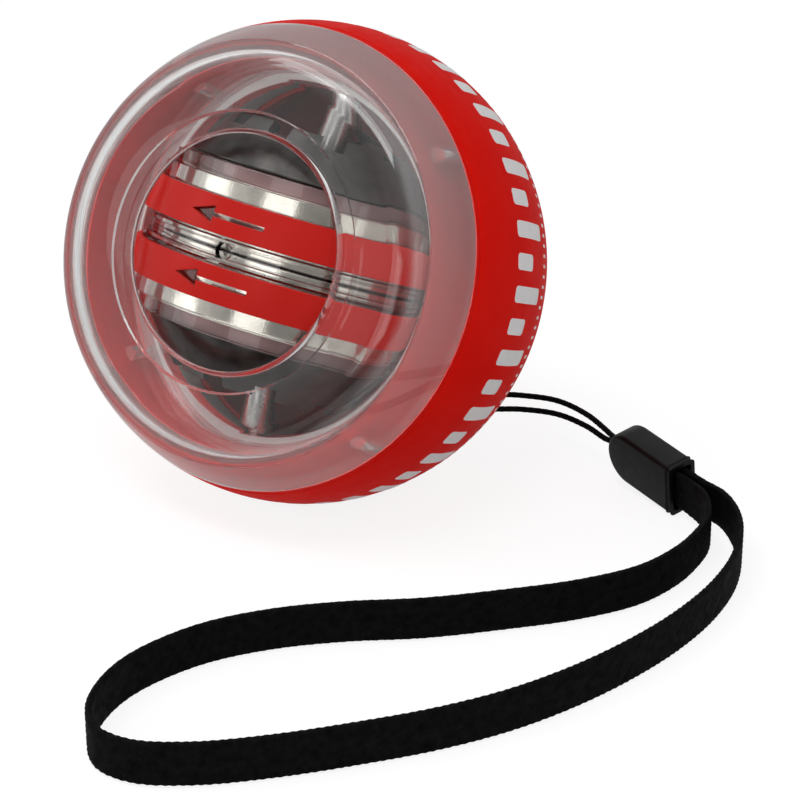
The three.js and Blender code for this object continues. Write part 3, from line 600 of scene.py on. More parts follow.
def metal(name, dark, pale, low, high, lathe_marks=0.0, speckle=0.0):
    """Metal; lathe_marks are fine rings round the axle, speckle is the grain of a plated surface."""
    mat = material(name, pale, low, 1.0)
    bsdf = mat.node_tree.nodes["Principled BSDF"]
    link(mat, tinted(mat, grain(mat, 260), dark, pale), bsdf.inputs["Base Color"])
    link(mat, ranged(mat, grain(mat, 420), low, high), bsdf.inputs["Roughness"])
    if lathe_marks:
        rings = node(mat, "ShaderNodeTexNoise", Scale=3500, Detail=2)
        link(mat, turned(mat), rings.inputs["Vector"])
        bumped(mat, rings.outputs["Fac"], lathe_marks, 0.00005)
    if speckle:
        bumped(mat, grain(mat, 2600, 2), speckle, 0.00005)
    return mat


def stepped_chrome():
    """The weight rings' plating, which ends at their outer step: the neck beyond it is dull metal, painted a
    pinkish grey that stands in for the red reflected in the clear wall over it.
    """
    mat = metal("mirror_chrome", (0.62, 0.585, 0.52), (0.78, 0.745, 0.67), 0.12, 0.2, speckle=0.22)
    bsdf = mat.node_tree.nodes["Principled BSDF"]
    split = node(mat, "ShaderNodeSeparateXYZ")
    link(mat, turned(mat), split.inputs["Vector"])
    off = node(mat, "ShaderNodeMath", operation="ABSOLUTE")
    link(mat, split.outputs["Z"], off.inputs[0])
    part = faded(mat, off.outputs["Value"], (STEP1_A - 0.02) * MM, (STEP1_A + 0.08) * MM, 0, 1)
    mix = node(mat, "ShaderNodeMix", data_type="RGBA")
    factor, plated, plain = mix.inputs[0], mix.inputs[6], mix.inputs[7]
    link(mat, part, factor)
    link(mat, bsdf.inputs["Base Color"].links[0].from_socket, plated)
    # the neck gets the pinkish grey, a painted reflection of the red parts
    plain.default_value = (*NECK_REFLECTED_RED, 1)
    link(mat, mix.outputs[2], bsdf.inputs["Base Color"])
    dull = faded(mat, part, 0, 1, bsdf.inputs["Roughness"].links[0].from_socket, 0.5)
    link(mat, dull, bsdf.inputs["Roughness"])
    return mat


def black_fabric(name, pale):
    mat = material(name, (0.003, 0.003, 0.003), 0.8, Specular_IOR_Level=0.07)
    surfaced(mat, (900, (0.001, 0.001, 0.001), pale), (700, 0.65, 0.9), (5000, 0.35, 0.0001))
    return mat


looks = {
    "clear_plastic": clear_plastic("clear_plastic"),
    # the shell below its crease carries the white haze, a painted reflection inside the thick wall
    "clear_shell": clear_plastic("clear_shell", 0.88),
    "red_rubber": surfaced(
        material("red_rubber", (0.78, 0.006, 0.002), 0.55, Specular_IOR_Level=0.04),
        (160, (0.76, 0.005, 0.002), (0.8, 0.008, 0.003)), (500, 0.5, 0.62), (2600, 0.12, 0.00005)),
    "red_plastic": surfaced(
        material("red_plastic", (0.58, 0.011, 0.006), 0.38, Specular_IOR_Level=0.18),
        (120, (0.56, 0.009, 0.005), (0.6, 0.013, 0.008)), (300, 0.32, 0.42), (1500, 0.05, 0.00004)),
    "white_ink": surfaced(
        material("white_ink", (0.86, 0.84, 0.84), 0.5, Specular_IOR_Level=0.3),
        (700, (0.84, 0.82, 0.82), (0.88, 0.86, 0.86)), (900, 0.45, 0.6), (2600, 0.12, 0.00005)),
    "mirror_chrome": stepped_chrome(),
    "dark_steel": metal(
        "dark_steel", (0.04, 0.038, 0.036), (0.09, 0.086, 0.083), 0.28, 0.4, lathe_marks=0.12),
    "steel": metal("steel", (0.42, 0.41, 0.4), (0.56, 0.55, 0.54), 0.2, 0.3, lathe_marks=0.1),
    "spring_steel": metal("spring_steel", (0.2, 0.2, 0.22), (0.34, 0.35, 0.38), 0.28, 0.4, speckle=0.08),
    "brass": metal("brass", (0.45, 0.3, 0.1), (0.62, 0.44, 0.18), 0.25, 0.4, speckle=0.08),
    "white_nylon": surfaced(
        material("white_nylon", (0.7, 0.68, 0.65), 0.5, Subsurface_Weight=0.05),
        (400, (0.66, 0.64, 0.61), (0.73, 0.71, 0.68)), (500, 0.42, 0.55), (2000, 0.1, 0.00005)),
    "black_plastic": surfaced(
        material("black_plastic", (0.003, 0.003, 0.003), 0.42, Specular_IOR_Level=0.14),
        (300, (0.002, 0.002, 0.002), (0.004, 0.004, 0.004)), (600, 0.36, 0.48), (3000, 0.2, 0.00005)),
    "black_cord": black_fabric("black_cord", (0.005, 0.005, 0.005)),
    "black_webbing": black_fabric("black_webbing", (0.005, 0.005, 0.005)),
}


def finished(obj, slot, body, *nodes, look=None):
    """Gives a piece its material, its body and the CAD nodes that it stands for."""
    obj.data.materials.clear()
    obj.data.materials.append(looks[look or slot])
    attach(obj, body)
    if nodes:
        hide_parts(*nodes)
    return obj


# the limp parts
def tube(name, line, radius_at, sides, frame_at):
    """A closed tube along a line; radius_at(i, j) gives each point, frame_at(i) its side and up."""
    verts, faces = [], []
    for i, at in enumerate(line):
        side, up = frame_at(i)
        for j in range(sides):
            x, y = radius_at(i, j)
            verts.append(at + side * x + up * y)
    for i in range(len(line) - 1):
        for j in range(sides):
            k = (j + 1) % sides
            faces.append([i * sides + j, i * sides + k, (i + 1) * sides + k, (i + 1) * sides + j])
    last = (len(line) - 1) * sides
    faces.append(list(range(sides)))
    faces.append([last + j for j in reversed(range(sides))])
    return make(name, verts, faces, floor_place, 60)


def wrist_cord():
    """A thin cord plaited from strands that wind both ways."""
    line, length = even(cord_line(), 0.14)
    sides, strands, pitch, relief = 20, 4, 2.4, 0.05
    sides_up = []
    up = Vector((0, 0, 1))
    for i in range(len(line)):
        along = (line[min(i + 1, len(line) - 1)] - line[max(i - 1, 0)]).normalized()
        side = along.cross(up)
        up = side.cross(along).normalized()
        sides_up.append((side.normalized(), up.copy()))

    def radius_at(i, j):
        turn = 2 * math.pi * j / sides
        wind = 2 * math.pi * i * length / (len(line) - 1) / pitch
        one, two = strands * (turn + wind) / 2, strands * (turn - wind) / 2
        rib = max(abs(math.sin(one)) * (1 if math.cos(two) > 0 else 0.6), abs(math.sin(two)) * 0.8)
        radius = CORD_R - relief + relief * 1.6 * rib
        return radius * math.cos(turn), radius * math.sin(turn)

    obj = tube("wrist_cord_plaited", line, radius_at, sides, lambda i: sides_up[i])
    finished(obj, "black_cord", "housing", "wrist_cord")


def webbing_loop():
    """A flat hollow braid laid on its edge: slanted cells in staggered rows, ribs along both edges."""
    line, length = even(webbing_line(), 0.21)
    face_count, edge_count = 28, 4
    cell_along, cell_across, relief = 1.15, 0.95, 0.11
    half_w, half_t = WEB_W / 2, WEB_T / 2
    straight = half_w - half_t
    section = []
    for i in range(face_count):
        section.append((half_t, -straight + 2 * straight * i / (face_count - 1)))
    for i in range(1, edge_count):
        turn = math.pi * i / edge_count
        section.append((half_t * math.cos(turn), straight + half_t * math.sin(turn)))
    for i in range(face_count):
        section.append((-half_t, straight - 2 * straight * i / (face_count - 1)))
    for i in range(1, edge_count):
        turn = math.pi * i / edge_count
        section.append((-half_t * math.cos(turn), -straight - half_t * math.sin(turn)))
    around = [0.0]
    for (x0, y0), (x1, y1) in zip(section, section[1:]):
        around.append(around[-1] + math.hypot(x1 - x0, y1 - y0))
    frames = []
    upright = Vector((0, 0, 1))
    for i in range(len(line)):
        along = (line[min(i + 1, len(line) - 1)] - line[max(i - 1, 0)]).normalized()
        near = length * min(i, len(line) - 1 - i) / (len(line) - 1)
        side = along.cross(conn_up.lerp(upright, min(near / WEB_UPRIGHT_AFTER, 1))).normalized()
        frames.append((side, side.cross(along).normalized()))

    def radius_at(i, j):
        u = i * length / (len(line) - 1) / cell_along
        v = around[j] / cell_across
        a, b = u + v, u - v
        over = math.sin(math.pi * a) * math.sin(math.pi * b)
        ribs = abs(math.sin(math.pi * a)) * abs(math.cos(math.pi * b / 2))
        rise = relief * (0.65 * abs(over) ** 0.7 + 0.35 * ribs) - relief * 0.75
        x, y = section[j]
        out = Vector((x, y - max(-straight, min(straight, y))))
        out = out.normalized() if out.length else Vector((math.copysign(1, x), 0))
        return x + out.x * rise, y + out.y * rise

    obj = tube("webbing_loop_braided", line, radius_at, len(section), lambda i: frames[i])
    finished(obj, "black_webbing", "housing", "webbing_loop")


def strap_connector():
    """A flat moulded block: round at the cord's end, with a lipped mouth for the webbing."""
    half = CONN_H / 2
    place = floor_place @ Matrix.Translation(CONN_MOUTH) @ Matrix((
        (conn_along.x, conn_up.x, -conn_across.x, 0),
        (conn_along.y, conn_up.y, -conn_across.y, 0),
        (conn_along.z, conn_up.z, -conn_across.z, 0),
        (0, 0, 0, 1),
    ))
    edge, round_steps, edge_steps = 0.7, 28, 5
    verts, faces = [], []
    rings = []
    for level in range(2 * edge_steps + 2):
        if level <= edge_steps:
            turn = math.pi / 2 * (1 - level / edge_steps)
            inset, z = edge * (1 - math.cos(turn)), -CONN_T / 2 + edge - edge * math.sin(turn)
        else:
            turn = math.pi / 2 * (level - edge_steps - 1) / edge_steps
            inset, z = edge * (1 - math.cos(turn)), CONN_T / 2 - edge + edge * math.sin(turn)
        radius = half - inset
        outline = [
            (half - CONN_L + radius * math.cos(t), radius * math.sin(t))
            for t in (math.pi / 2 + math.pi * i / round_steps for i in range(round_steps + 1))
        ]
        corner = 0.5
        for sign in (-1, 1):
            for i in range(5):
                t = math.pi / 2 * i / 4
                t = -math.pi / 2 + t if sign < 0 else t
                x = -inset - corner + corner * math.cos(t)
                outline.append((x, sign * (radius - corner) + corner * math.sin(t)))
        rings.append(range(len(verts), len(verts) + len(outline)))
        verts += [(x, y, z) for x, y in outline]
    for one, two in zip(rings, rings[1:]):
        count = len(one)
        faces += [[one[i], one[(i + 1) % count], two[(i + 1) % count], two[i]] for i in range(count)]
    faces.append(list(rings[0]))
    faces.append(list(reversed(rings[-1])))
    obj = make("strap_connector_moulded", verts, faces, place)
    lip, lip_l, lip_round = 0.1, 1.0, 0.25
    lip_outline = rounded_rectangle(CONN_H + 2 * lip - 0.5, CONN_T + 2 * lip - 0.35, 0.9)
    lip_profile = [(-lip_l, -0.3), (-lip_l + 0.25, 0.0), (-lip_round, 0.0), (-0.08, -0.09), (0.0, -lip_round)]
    obj = join(obj, loft("lip", lip_outline, lip_profile, place))
    mouth_outline = rounded_rectangle(MOUTH_HIGH, MOUTH_WIDE, 0.6)
    mouth_profile = [(-MOUTH_DEEP, -0.2), (-MOUTH_DEEP + 0.2, 0.0), (-0.35, 0.0), (0.05, 0.22), (0.6, 0.3)]
    obj = cut(obj, loft("mouth", mouth_outline, mouth_profile, place))
    start, end = (-CONN_L - RUN_GAP, 0, 0), (CORD_HOLE_DEEP - CONN_L, 0, 0)
    obj = cut(obj, rod("hole", CORD_HOLE_R, start, end, 32, place))
    return finished(obj, "black_plastic", "housing", "strap_connector")


def rounded_rectangle(high, wide, radius, steps=5):
    points = []
    for cx, cy, start in ((1, 1, 0), (-1, 1, 90), (-1, -1, 180), (1, -1, 270)):
        for i in range(steps + 1):
            t = (start + 90 * i / steps) * RAD
            y = cx * (high / 2 - radius) + radius * math.cos(t)
            points.append((y, cy * (wide / 2 - radius) + radius * math.sin(t)))
    return points


def loft(name, outline, profile, place):
    """An outline in the YZ plane carried along X; each profile point is [x, growth of the outline]."""
    verts, faces = [], []
    count = len(outline)
    for x, grow in profile:
        for y, z in outline:
            verts.append((x, y + math.copysign(grow, y), z + math.copysign(grow, z)))
    for i in range(len(profile) - 1):
        for j in range(count):
            k = (j + 1) % count
            faces.append([i * count + j, i * count + k, (i + 1) * count + k, (i + 1) * count + j])
    faces.append(list(range(count)))
    last = (len(profile) - 1) * count
    faces.append([last + j for j in reversed(range(count))])
    return make(name, verts, faces, place)


# the housing
CLEAR_STEPS = 160
crown_r = (BALL_R - CROWN_R) * math.sin(CROWN_TURN_DEG * RAD)
crown_s = (BALL_R - CROWN_R) * math.cos(CROWN_TURN_DEG * RAD)


def post_places():
    for i in range(POST_COUNT):
        turn = (POST_FIRST_DEG + i * 360 / POST_COUNT) * RAD
        yield POST_AT_R * math.cos(turn), POST_AT_R * math.sin(turn)


def upper_shell():
    """Thick clear shell: round outside, a fine crease below the crown, a wide bore above the race."""
    crease = CROWN_TURN_DEG + 0.5
    lip = BAND_FRONT_S - BAND_BOND
    inside = CROWN_R - WALL
    profile = softened([
        (RACE_IN_R, RACE_HALF_H, 0.2), (RACE_WIDE_R, RACE_HALF_H), (RACE_WIDE_R, TIP_RACE_HALF_H),
        (TIP_RACE_R, TIP_RACE_HALF_H), (TIP_RACE_R, SEAT_GAP / 2), (SKIN_R, SEAT_GAP / 2),
        *arc(SKIN_R, 88, tilt(SKIN_R, TAPER_S), 8),
        *arc(BALL_R - FRONT_EDGE_T, tilt(BALL_R, lip), tilt(BALL_R, lip), 1)[:1],
        *arc(BALL_R, tilt(BALL_R, lip), crease + CREASE_HALF, 14),
        *arc(BALL_R - CREASE_DEEP, crease, crease, 1)[:1],
        *arc(BALL_R, crease - CREASE_HALF, crease - CREASE_HALF, 1)[:1],
        *arc(CROWN_R, CROWN_TURN_DEG - 2, 0, 24, crown_r, crown_s),
        (COLLAR_R + RUN_GAP, COLLAR_S, 0.2), (COLLAR_R, MOUTH_S, 0.12), (MOUTH_R, MOUTH_S, 0.3),
        (MOUTH_R, MOUTH_S - COLLAR_T, 0.3), (MOUTH_R + COLLAR_T, MOUTH_S - COLLAR_DROP, 0.5),
        *arc(inside, 0, 90, 20, crown_r, crown_s),
        (crown_r + inside, SHELF_S, 0.4), (RACE_IN_R, SHELF_S, 0.3),
    ])
    obj = lathe("upper_shell_clear", profile, CLEAR_STEPS, ball_place)
    for x, y in post_places():
        hole = rod("hole", POST_R + SEAT_GAP, (x, y, -RUN_GAP), (x, y, POST_TOP_S + RUN_GAP), 32, ball_place)
        obj = cut(obj, hole)
    return finished(obj, "clear_plastic", "housing", "upper_shell", look="clear_shell")


def lug(obj):
    to_ball = ball_place.to_3x3().inverted()
    out, across = to_ball @ lug_out, to_ball @ lug_across
    limit = [(0, -BALL_R + 0.3), *reversed(arc(BALL_R - 0.02, 0.5, 179.5, 80)), (0, BALL_R - 0.3)]
    keep = lathe("keep", limit, 128, ball_place)
    boss = rod("boss", LUG_BOSS_R, out * LUG_BOSS_IN, out * (BALL_R + 1), 48, ball_place)
    obj = join(obj, combine(boss, keep, "INTERSECT"))
    start, end = out * (BALL_R - POCKET_DEPTH), out * (BALL_R + WALL)
    obj = cut(obj, rod("pocket", POCKET_R, start, end, 48, ball_place))
    mid = out * (BALL_R - PIN_DEPTH)
    side = across * LUG_PIN_HALF
    return cut(obj, rod("bore", LUG_PIN_R + SEAT_GAP, mid - side, mid + side, 24, ball_place))


def lower_shell():
    lip = BAND_BACK_S - RUN_GAP
    inner = SKIN_R - WALL + RUN_GAP
    clear_inner = BALL_R - WALL
    floor = BASE_S + WALL
    profile = softened([
        (RACE_IN_R, -RACE_HALF_H, 0.2), (RACE_WIDE_R, -RACE_HALF_H), (RACE_WIDE_R, -TIP_RACE_HALF_H),
        (TIP_RACE_R, -TIP_RACE_HALF_H), (TIP_RACE_R, -SEAT_GAP / 2), (SKIN_R, -SEAT_GAP / 2),
        *arc(SKIN_R, 92, tilt(SKIN_R, lip), 12),
        *arc(BALL_R, tilt(BALL_R, lip - RUN_GAP), tilt(BALL_R, BASE_S + 2 * RUN_GAP), 12),
        (BALL_R * math.sin(tilt(BALL_R, BASE_S) * RAD), BASE_S, 0.5),
        (CAP_LIP_R + SEAT_GAP, BASE_S), (CAP_LIP_R + SEAT_GAP, BASE_S + CAP_T),
        (CAP_R + SEAT_GAP, BASE_S + CAP_T), (CAP_R + SEAT_GAP, floor),
        *arc(clear_inner, tilt(clear_inner, floor), tilt(clear_inner, BAND_BACK_S - WALL), 10),
        *arc(inner, tilt(inner, BAND_BACK_S + WALL), tilt(inner, -SHELF_S), 10),
        (RACE_IN_R, -SHELF_S, 0.3),
    ])
    obj = lathe("lower_shell_moulded", profile, CLEAR_STEPS, ball_place)
    for x, y in post_places():
        obj = join(obj, rod("post", POST_R, (x, y, -SHELF_S / 2), (x, y, POST_TOP_S), 32, ball_place, 0.2))
    obj = lug(obj)
    return finished(obj, "red_plastic", "housing", "lower_shell")


def grip_band():
    """Soft band moulded over the joint of the shells, with a fine line along each round edge."""
    skin = SKIN_R - BAND_BOND
    front_turn, back_turn = tilt(BALL_R, BAND_FRONT_S), tilt(BALL_R, BAND_BACK_S)
    line_turn, line_half = BEAD_AT / BALL_R / RAD, BEAD_HALF / BALL_R / RAD
    front_line, back_line = front_turn + line_turn, back_turn - line_turn
    profile = softened([
        (*arc(BALL_R, front_turn, front_turn, 1)[0], 0.1),
        *arc(BALL_R, front_line - line_half, front_line - line_half, 1)[:1],
        *arc(BALL_R - BEAD_DEEP, front_line, front_line, 1)[:1],
        *arc(BALL_R, front_line + line_half, back_line - line_half, 60),
        *arc(BALL_R - BEAD_DEEP, back_line, back_line, 1)[:1],
        *arc(BALL_R, back_line + line_half, back_line + line_half, 1)[:1],
        (*arc(BALL_R, back_turn, back_turn, 1)[0], 0.35),
        (math.sqrt(skin ** 2 - BAND_BACK_S ** 2), BAND_BACK_S, 0.2),
        *arc(skin, tilt(skin, BAND_BACK_S + 0.3), tilt(skin, TAPER_S), 24),
        *arc(BALL_R - FRONT_EDGE_T - BAND_BOND, front_turn, front_turn, 1)[:1],
    ], 6)
    obj = lathe("grip_band_soft", profile, 192, ball_place, 50)
    return finished(obj, "red_rubber", "housing", "grip_band")


def band_marks():
    """A plain printed scale round the band: long and short bars, and a row of fine ticks."""
    verts, faces = [], []
    columns = 4

    def bar(mid_deg, width, s_low, s_high, rounding, rows):
        """One mark that follows the ball: a grid of rows along s, narrower where its ends are rounded."""
        cuts = [s_low + rounding * (1 - math.cos(math.pi / 2 * i / 4)) for i in range(4)]
        cuts += [s_low + rounding + (s_high - s_low - 2 * rounding) * i / rows for i in range(rows + 1)]
        cuts += [s_high - rounding * (1 - math.cos(math.pi / 2 * i / 4)) for i in reversed(range(4))]
        levels = []
        for radius in (BALL_R - MARK_SUNK, BALL_R + MARK_PROUD):
            grid = []
            for s in cuts:
                short = max(rounding - (s - s_low), rounding - (s_high - s), 0)
                half = width / 2 - rounding + math.sqrt(rounding ** 2 - short ** 2)
                r = math.sqrt(radius ** 2 - s ** 2)
                grid.append(range(len(verts), len(verts) + columns + 1))
                for j in range(columns + 1):
                    turn = mid_deg * RAD + half * (2 * j / columns - 1) / BALL_R
                    verts.append((r * math.cos(turn), r * math.sin(turn), s))
            for one, two in zip(grid, grid[1:]):
                faces.extend([one[j], one[j + 1], two[j + 1], two[j]] for j in range(columns))
            levels.append(grid)
        low, high = levels
        rim = [[grid[0][j] for j in range(columns)] + [row[-1] for row in grid[:-1]]
               + [grid[-1][j] for j in range(columns, 0, -1)] + [row[0] for row in reversed(grid[1:])]
               for grid in (low, high)]
        for i in range(len(rim[0])):
            k = (i + 1) % len(rim[0])
            faces.append([rim[0][i], rim[0][k], rim[1][k], rim[1][i]])

    for i in range(BAR_COUNT):
        low = BAR_LOW_S if i % 2 == 0 else BAR_SHORT_S
        bar((i + 0.5) * 360 / BAR_COUNT, BAR_W, low, BAR_HIGH_S, BAR_ROUND, 14)
    for i in range(TICK_COUNT):
        bar((i + 0.5) * 360 / TICK_COUNT, TICK_W, TICK_LOW_S, TICK_HIGH_S, TICK_ROUND, 2)
    return finished(make("band_marks", verts, faces, ball_place), "white_nylon", "housing", look="white_ink")


def base_cap():
    profile = softened([
        (0, BASE_S + CAP_DISH_DEEP), (CAP_DISH_R - CAP_DISH_SLOPE, BASE_S + CAP_DISH_DEEP),
        (CAP_DISH_R, BASE_S, 0.2), (CAP_LIP_R, BASE_S, 0.4),
        (CAP_LIP_R, BASE_S + CAP_T - SEAT_GAP, 0.2), (CAP_R, BASE_S + CAP_T - SEAT_GAP),
        (CAP_R, BASE_S + WALL, 0.3), (0, BASE_S + WALL),
    ])
    return finished(lathe("base_cap_moulded", profile, 96, ball_place), "red_plastic", "housing", "base_cap")


def lanyard_pin():
    to_ball = ball_place.to_3x3().inverted()
    out, across = to_ball @ lug_out, to_ball @ lug_across
    mid = out * (BALL_R - PIN_DEPTH)
    side = across * LUG_PIN_HALF
    obj = rod("lanyard_pin_turned", LUG_PIN_R, mid - side, mid + side, 32, ball_place, 0.12)
    return finished(obj, "steel", "housing", "lanyard_pin")


# the ring and the rotor
def carrier_ring():
    profile = softened([
        (RING_IN_R, -RING_HALF_H, 0.25), (RING_OUT_R, -RING_HALF_H, 0.25),
        (RING_OUT_R, RING_HALF_H, 0.25), (RING_IN_R, RING_HALF_H, 0.25),
    ])
    obj = lathe("carrier_ring_moulded", profile, 144, ball_place)
    reach = Vector((math.cos(axle_turn), math.sin(axle_turn), 0)) * BALL_R
    obj = cut(obj, rod("tips", TIP_R + 0.1, -reach, reach, 32, ball_place))
    return finished(obj, "white_nylon", "carrier", "carrier_ring")


def axle():
    profile = [
        (0, -TIP_END), (TIP_R - 0.3, -TIP_END), (TIP_R, -TIP_END + 0.3), (TIP_R, -AXLE_BODY_END),
        (AXLE_R, -AXLE_BODY_END), (AXLE_R, AXLE_BODY_END), (TIP_R, AXLE_BODY_END),
        (TIP_R, TIP_END - 0.3), (TIP_R - 0.3, TIP_END), (0, TIP_END),
    ]
    return finished(lathe("axle_turned", profile, 48, rotor_place), "steel", "axle_set", "axle")


def spacer(name, node_name, sign):
    near, far = sign * (AXLE_BODY_END + SEAT_GAP), sign * (RACE_IN_R - RUN_GAP)
    profile = softened([
        (TIP_R + SEAT_GAP, near), (SPACER_R, near, 0.25), (SPACER_R, far, 0.25), (TIP_R + SEAT_GAP, far),
    ])
    return finished(lathe(name, profile, 48, rotor_place), "steel", "axle_set", node_name)


def rotor_core():
    under = ROTOR_BAND_R - ROTOR_BAND_T - SEAT_GAP
    under_edge = ROTOR_BAND_EDGE_R - ROTOR_BAND_T - SEAT_GAP
    bore = WEIGHT_R + SEAT_GAP
    side = [
        (bore, WEB_HALF), (bore, CORE_END), (STEP2_R, CORE_END, 0.2), (STEP2_R, STEP1_A, 0.1),
        (STEP1_R, STEP1_A, 0.2), (STEP1_R, BAND_OUT + SEAT_GAP), (under_edge, BAND_OUT), (under, BAND_IN),
        (under, BAND_IN - 0.3, 0.1), (CHANNEL_R, BAND_IN - 0.6, 0.1),
        (CHANNEL_R, GROOVE_HALF, 0.12), (GROOVE_R, GROOVE_HALF, 0.12),
    ]
    lower = [(p[0], -p[1], *p[2:]) for p in reversed(side)]
    profile = softened([
        (BORE_R, HUB_END), (HUB_R, HUB_END), (HUB_R, WEB_HALF), *side, *lower,
        (HUB_R, -WEB_HALF), (HUB_R, -HUB_LOW_END), (BORE_R, -HUB_LOW_END),
    ], 3)
    obj = lathe("rotor_core_clear", profile, CLEAR_STEPS, rotor_place)
    start, end = (CHANNEL_R - START_HOLE_DEPTH, 0, 0), (CHANNEL_R + RUN_GAP, 0, 0)
    hole = rod("hole", START_HOLE_R, start, end, 40, rotor_place)
    obj = cut(obj, hole)
    return finished(obj, "clear_plastic", "rotor", "rotor_core")


def arrow(sign):
    outline = [
        (ARROW_TIP, ARROW_A),
        (ARROW_NECK, ARROW_A - ARROW_HEAD_HALF), (ARROW_NECK, ARROW_A - ARROW_SHAFT_HALF),
        (ARROW_TAIL, ARROW_A - ARROW_SHAFT_HALF), (ARROW_TAIL, ARROW_A + ARROW_SHAFT_HALF),
        (ARROW_NECK, ARROW_A + ARROW_SHAFT_HALF), (ARROW_NECK, ARROW_A + ARROW_HEAD_HALF),
    ]
    stand = rotor_place @ Matrix(((0, 0, 1, 0), (1, 0, 0, 0), (0, 1, 0, 0), (0, 0, 0, 1)))
    return plate("arrow", [(x, sign * y) for x, y in outline], WEIGHT_R, ROTOR_BAND_R + 2, stand)


def rotor_band(name, node_name, sign):
    profile = softened([
        (ROTOR_BAND_R - ROTOR_BAND_T, sign * BAND_IN), (ROTOR_BAND_R, sign * BAND_IN, 0.15),
        (ROTOR_BAND_EDGE_R, sign * BAND_OUT, 0.15), (ROTOR_BAND_EDGE_R - ROTOR_BAND_T, sign * BAND_OUT),
    ])
    obj = cut(lathe(name, profile, 192, rotor_place), arrow(sign))
    return finished(obj, "red_plastic", "rotor", node_name)


def weight_ring(name, node_name, sign):
    near = WEB_HALF + SEAT_GAP
    profile = softened([
        (WEIGHT_BORE_R, sign * near, 0.2), (WEIGHT_R, sign * near, 0.3), (WEIGHT_R, sign * STEP1_A, 0.3),
        (WEIGHT_STEP_R, sign * STEP1_A, 0.1), (WEIGHT_STEP_R, sign * CORE_END, 0.2),
        (WEIGHT_BORE_R, sign * CORE_END, 0.2),
    ])
    return finished(lathe(name, profile, 144, rotor_place), "mirror_chrome", "rotor", node_name)


def end_disc(name, node_name, sign):
    face = CORE_END + SEAT_GAP
    web = face + DISC_WEB
    points = [
        (BORE_R, face), (DISC_R, face, 0.3), (DISC_END_R, DISC_END, 0.25),
        (DISC_END_R - DISC_WALL, DISC_END, 0.2), (DISC_R - DISC_WALL * 2, web, 0.4),
        (DISC_HUB_R, web, 0.3), (DISC_HUB_R, AXLE_BODY_END, 0.3), (BORE_R, AXLE_BODY_END),
    ]
    obj = lathe(name, softened([(p[0], sign * p[1], *p[2:]) for p in points]), 144, rotor_place)
    for i in range(NOTCH_COUNT):
        turn = Matrix.Rotation(2 * math.pi * i / NOTCH_COUNT, 4, "Z")
        half = DISC_WALL * 2
        outline = [(-half, -NOTCH_W / 2), (half, -NOTCH_W / 2), (half, NOTCH_W / 2), (-half, NOTCH_W / 2)]
        low, high = sorted((sign * (DISC_END - NOTCH_DEPTH), sign * (DISC_END + NOTCH_DEPTH)))
        tool = plate("notch", outline, low, high, rotor_place @ turn @ Matrix.Translation((DISC_END_R, 0, 0)))
        obj = cut(obj, tool)
    if sign > 0:
        for turn in (0, math.pi):
            x, y = PAWL_PIN_AT_R * math.cos(turn), PAWL_PIN_AT_R * math.sin(turn)
            start, end = (x, y, CORE_END - RUN_GAP), (x, y, web + RUN_GAP)
            obj = cut(obj, rod("pin", PAWL_PIN_R, start, end, 24, rotor_place))
    return finished(obj, "dark_steel", "rotor", node_name)


def dress_inner_parts():
    """The starter's parts keep their CAD shapes."""
    finish = {
        "spring_case": "steel", "start_spring": "spring_steel", "ratchet_arbor": "steel",
        "pawl_one": "brass", "pawl_two": "brass", "pawl_pin_one": "steel", "pawl_pin_two": "steel",
    }
    for name, look in finish.items():
        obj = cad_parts[name]
        obj.data.materials.clear()
        obj.data.materials.append(looks[look])


# stage
def add_floor():
    size = 3.0
    verts = [(-size, -size, 0), (size, -size, 0), (size, size, 0), (-size, size, 0)]
    mesh = bpy.data.meshes.new("floor")
    mesh.from_pydata(verts, [], [(0, 1, 2, 3)])
    obj = bpy.data.objects.new("floor", mesh)
    bpy.context.scene.collection.objects.link(obj)
    obj.location.z = -0.0001
    mat = material("floor", (0.8, 0.8, 0.8), 0.9)
    path = node(mat, "ShaderNodeLightPath")
    lit = node(mat, "ShaderNodeBsdfDiffuse")
    lit.inputs["Color"].default_value = (FLOOR_LIT, FLOOR_LIT, FLOOR_LIT, 1)
    seen = node(mat, "ShaderNodeAddShader")
    link(mat, lit.outputs["BSDF"], seen.inputs[0])
    link(mat, glow(mat, path, FLOOR_GLOW, STUDIO_LEVEL - FLOOR_LIT), seen.inputs[1])
    mix = node(mat, "ShaderNodeMixShader")
    link(mat, seen_factor(mat, path), mix.inputs["Fac"])
    link(mat, mat.node_tree.nodes["Principled BSDF"].outputs["BSDF"], mix.inputs[1])
    link(mat, seen.outputs["Shader"], mix.inputs[2])
    link(mat, mix.outputs["Shader"], mat.node_tree.nodes["Material Output"].inputs["Surface"])
    mesh.materials.append(mat)


def glow(mat, path, to_camera, to_others):
    """Light of one strength to the camera and of another to reflections and clear plastic."""
    strength = node(mat, "ShaderNodeMapRange")
    strength.inputs["To Min"].default_value = to_others
    strength.inputs["To Max"].default_value = to_camera
    link(mat, path.outputs["Is Camera Ray"], strength.inputs["Value"])
    made = node(mat, "ShaderNodeEmission")
    link(mat, strength.outputs["Result"], made.inputs["Strength"])
    return made.outputs["Emission"]


def seen_factor(mat, path):
    """1 for rays from the camera, from a reflection or through clear plastic."""
    one = node(mat, "ShaderNodeMath", operation="MAXIMUM")
    two = node(mat, "ShaderNodeMath", operation="MAXIMUM")
    link(mat, path.outputs["Is Camera Ray"], one.inputs[0])
    link(mat, path.outputs["Is Glossy Ray"], one.inputs[1])
    link(mat, one.outputs["Value"], two.inputs[0])
    link(mat, path.outputs["Is Transmission Ray"], two.inputs[1])
    return two.outputs["Value"]


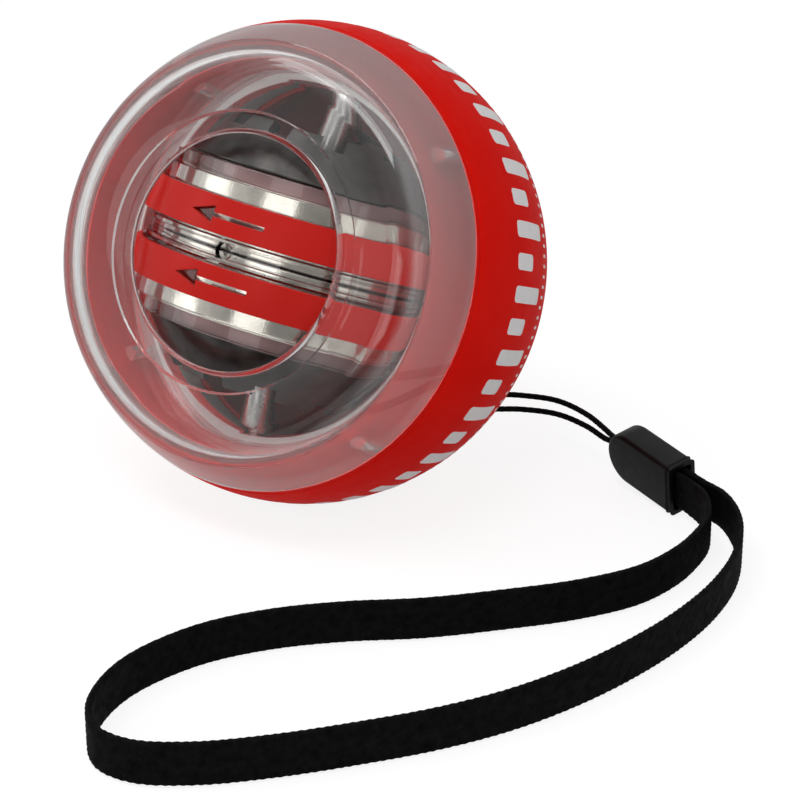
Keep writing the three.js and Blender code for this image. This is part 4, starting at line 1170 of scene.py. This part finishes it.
def add_world():
    """White to the camera; reflections see a studio, dark on one side and bright above."""
    world = bpy.data.worlds.new("studio")
    world.use_nodes = True
    bpy.context.scene.world = world
    tree = world.node_tree
    path = node(world, "ShaderNodeLightPath")
    sky = node(world, "ShaderNodeTexCoord").outputs["Generated"]
    side = node(world, "ShaderNodeVectorMath", operation="DOT_PRODUCT")
    side.inputs[1].default_value = DARK_SIDE
    link(world, sky, side.inputs[0])
    height = node(world, "ShaderNodeSeparateXYZ")
    link(world, sky, height.inputs["Vector"])
    around = faded(world, side.outputs["Value"], 0.2, 0.85, STUDIO_LEVEL, DARK_LEVEL)
    level = faded(world, height.outputs["Z"], 0.25, 0.8, around, 1.0)
    seen = faded(world, path.outputs["Is Camera Ray"], 0, 1, level, 1.0)
    strength = faded(world, seen_factor(world, path), 0, 1, FILL_LEVEL, seen)
    link(world, strength, tree.nodes["Background"].inputs["Strength"])
    tree.nodes["Background"].inputs["Color"].default_value = (1, 1, 1, 1)


def add_lamp(name, place, size, brightness):
    """A softbox aimed at the ball; brightness is its look in a mirror, where white paper is 1."""
    data = bpy.data.lights.new(name, "AREA")
    data.shape = "RECTANGLE"
    data.size, data.size_y = size
    data.energy = brightness * math.pi * size[0] * size[1]
    obj = bpy.data.objects.new(name, data)
    bpy.context.scene.collection.objects.link(obj)
    obj.location = place
    obj.rotation_mode = "QUATERNION"
    obj.rotation_quaternion = (centre * MM - Vector(place)).to_track_quat("-Z", "Y")


bpy.context.scene.view_settings.view_transform = "Standard"
add_camera()
strap_connector()
wrist_cord()
webbing_loop()
upper_shell()
lower_shell()
grip_band()
band_marks()
base_cap()
lanyard_pin()
carrier_ring()
axle()
spacer("spacer_upper_moulded", "spacer_upper", 1)
spacer("spacer_lower_moulded", "spacer_lower", -1)
rotor_core()
rotor_band("rotor_band_upper_cut", "rotor_band_upper", 1)
rotor_band("rotor_band_lower_cut", "rotor_band_lower", -1)
weight_ring("weight_ring_upper_polished", "weight_ring_upper", 1)
weight_ring("weight_ring_lower_polished", "weight_ring_lower", -1)
end_disc("end_disc_upper_turned", "end_disc_upper", 1)
end_disc("end_disc_lower_turned", "end_disc_lower", -1)
dress_inner_parts()
add_floor()
add_world()
add_lamp("left_softbox", (-0.6, -0.38, 0.27), (0.3, 0.3), 1.2)
add_lamp("front_softbox", (0.0, -0.86, 0.33), (0.4, 0.28), 1.5)
add_lamp("right_softbox", (0.7, -0.32, 0.2), (0.3, 0.4), 1.0)
add_lamp("top_softbox", (-0.08, -0.28, 0.76), (0.7, 0.22), 4.4)
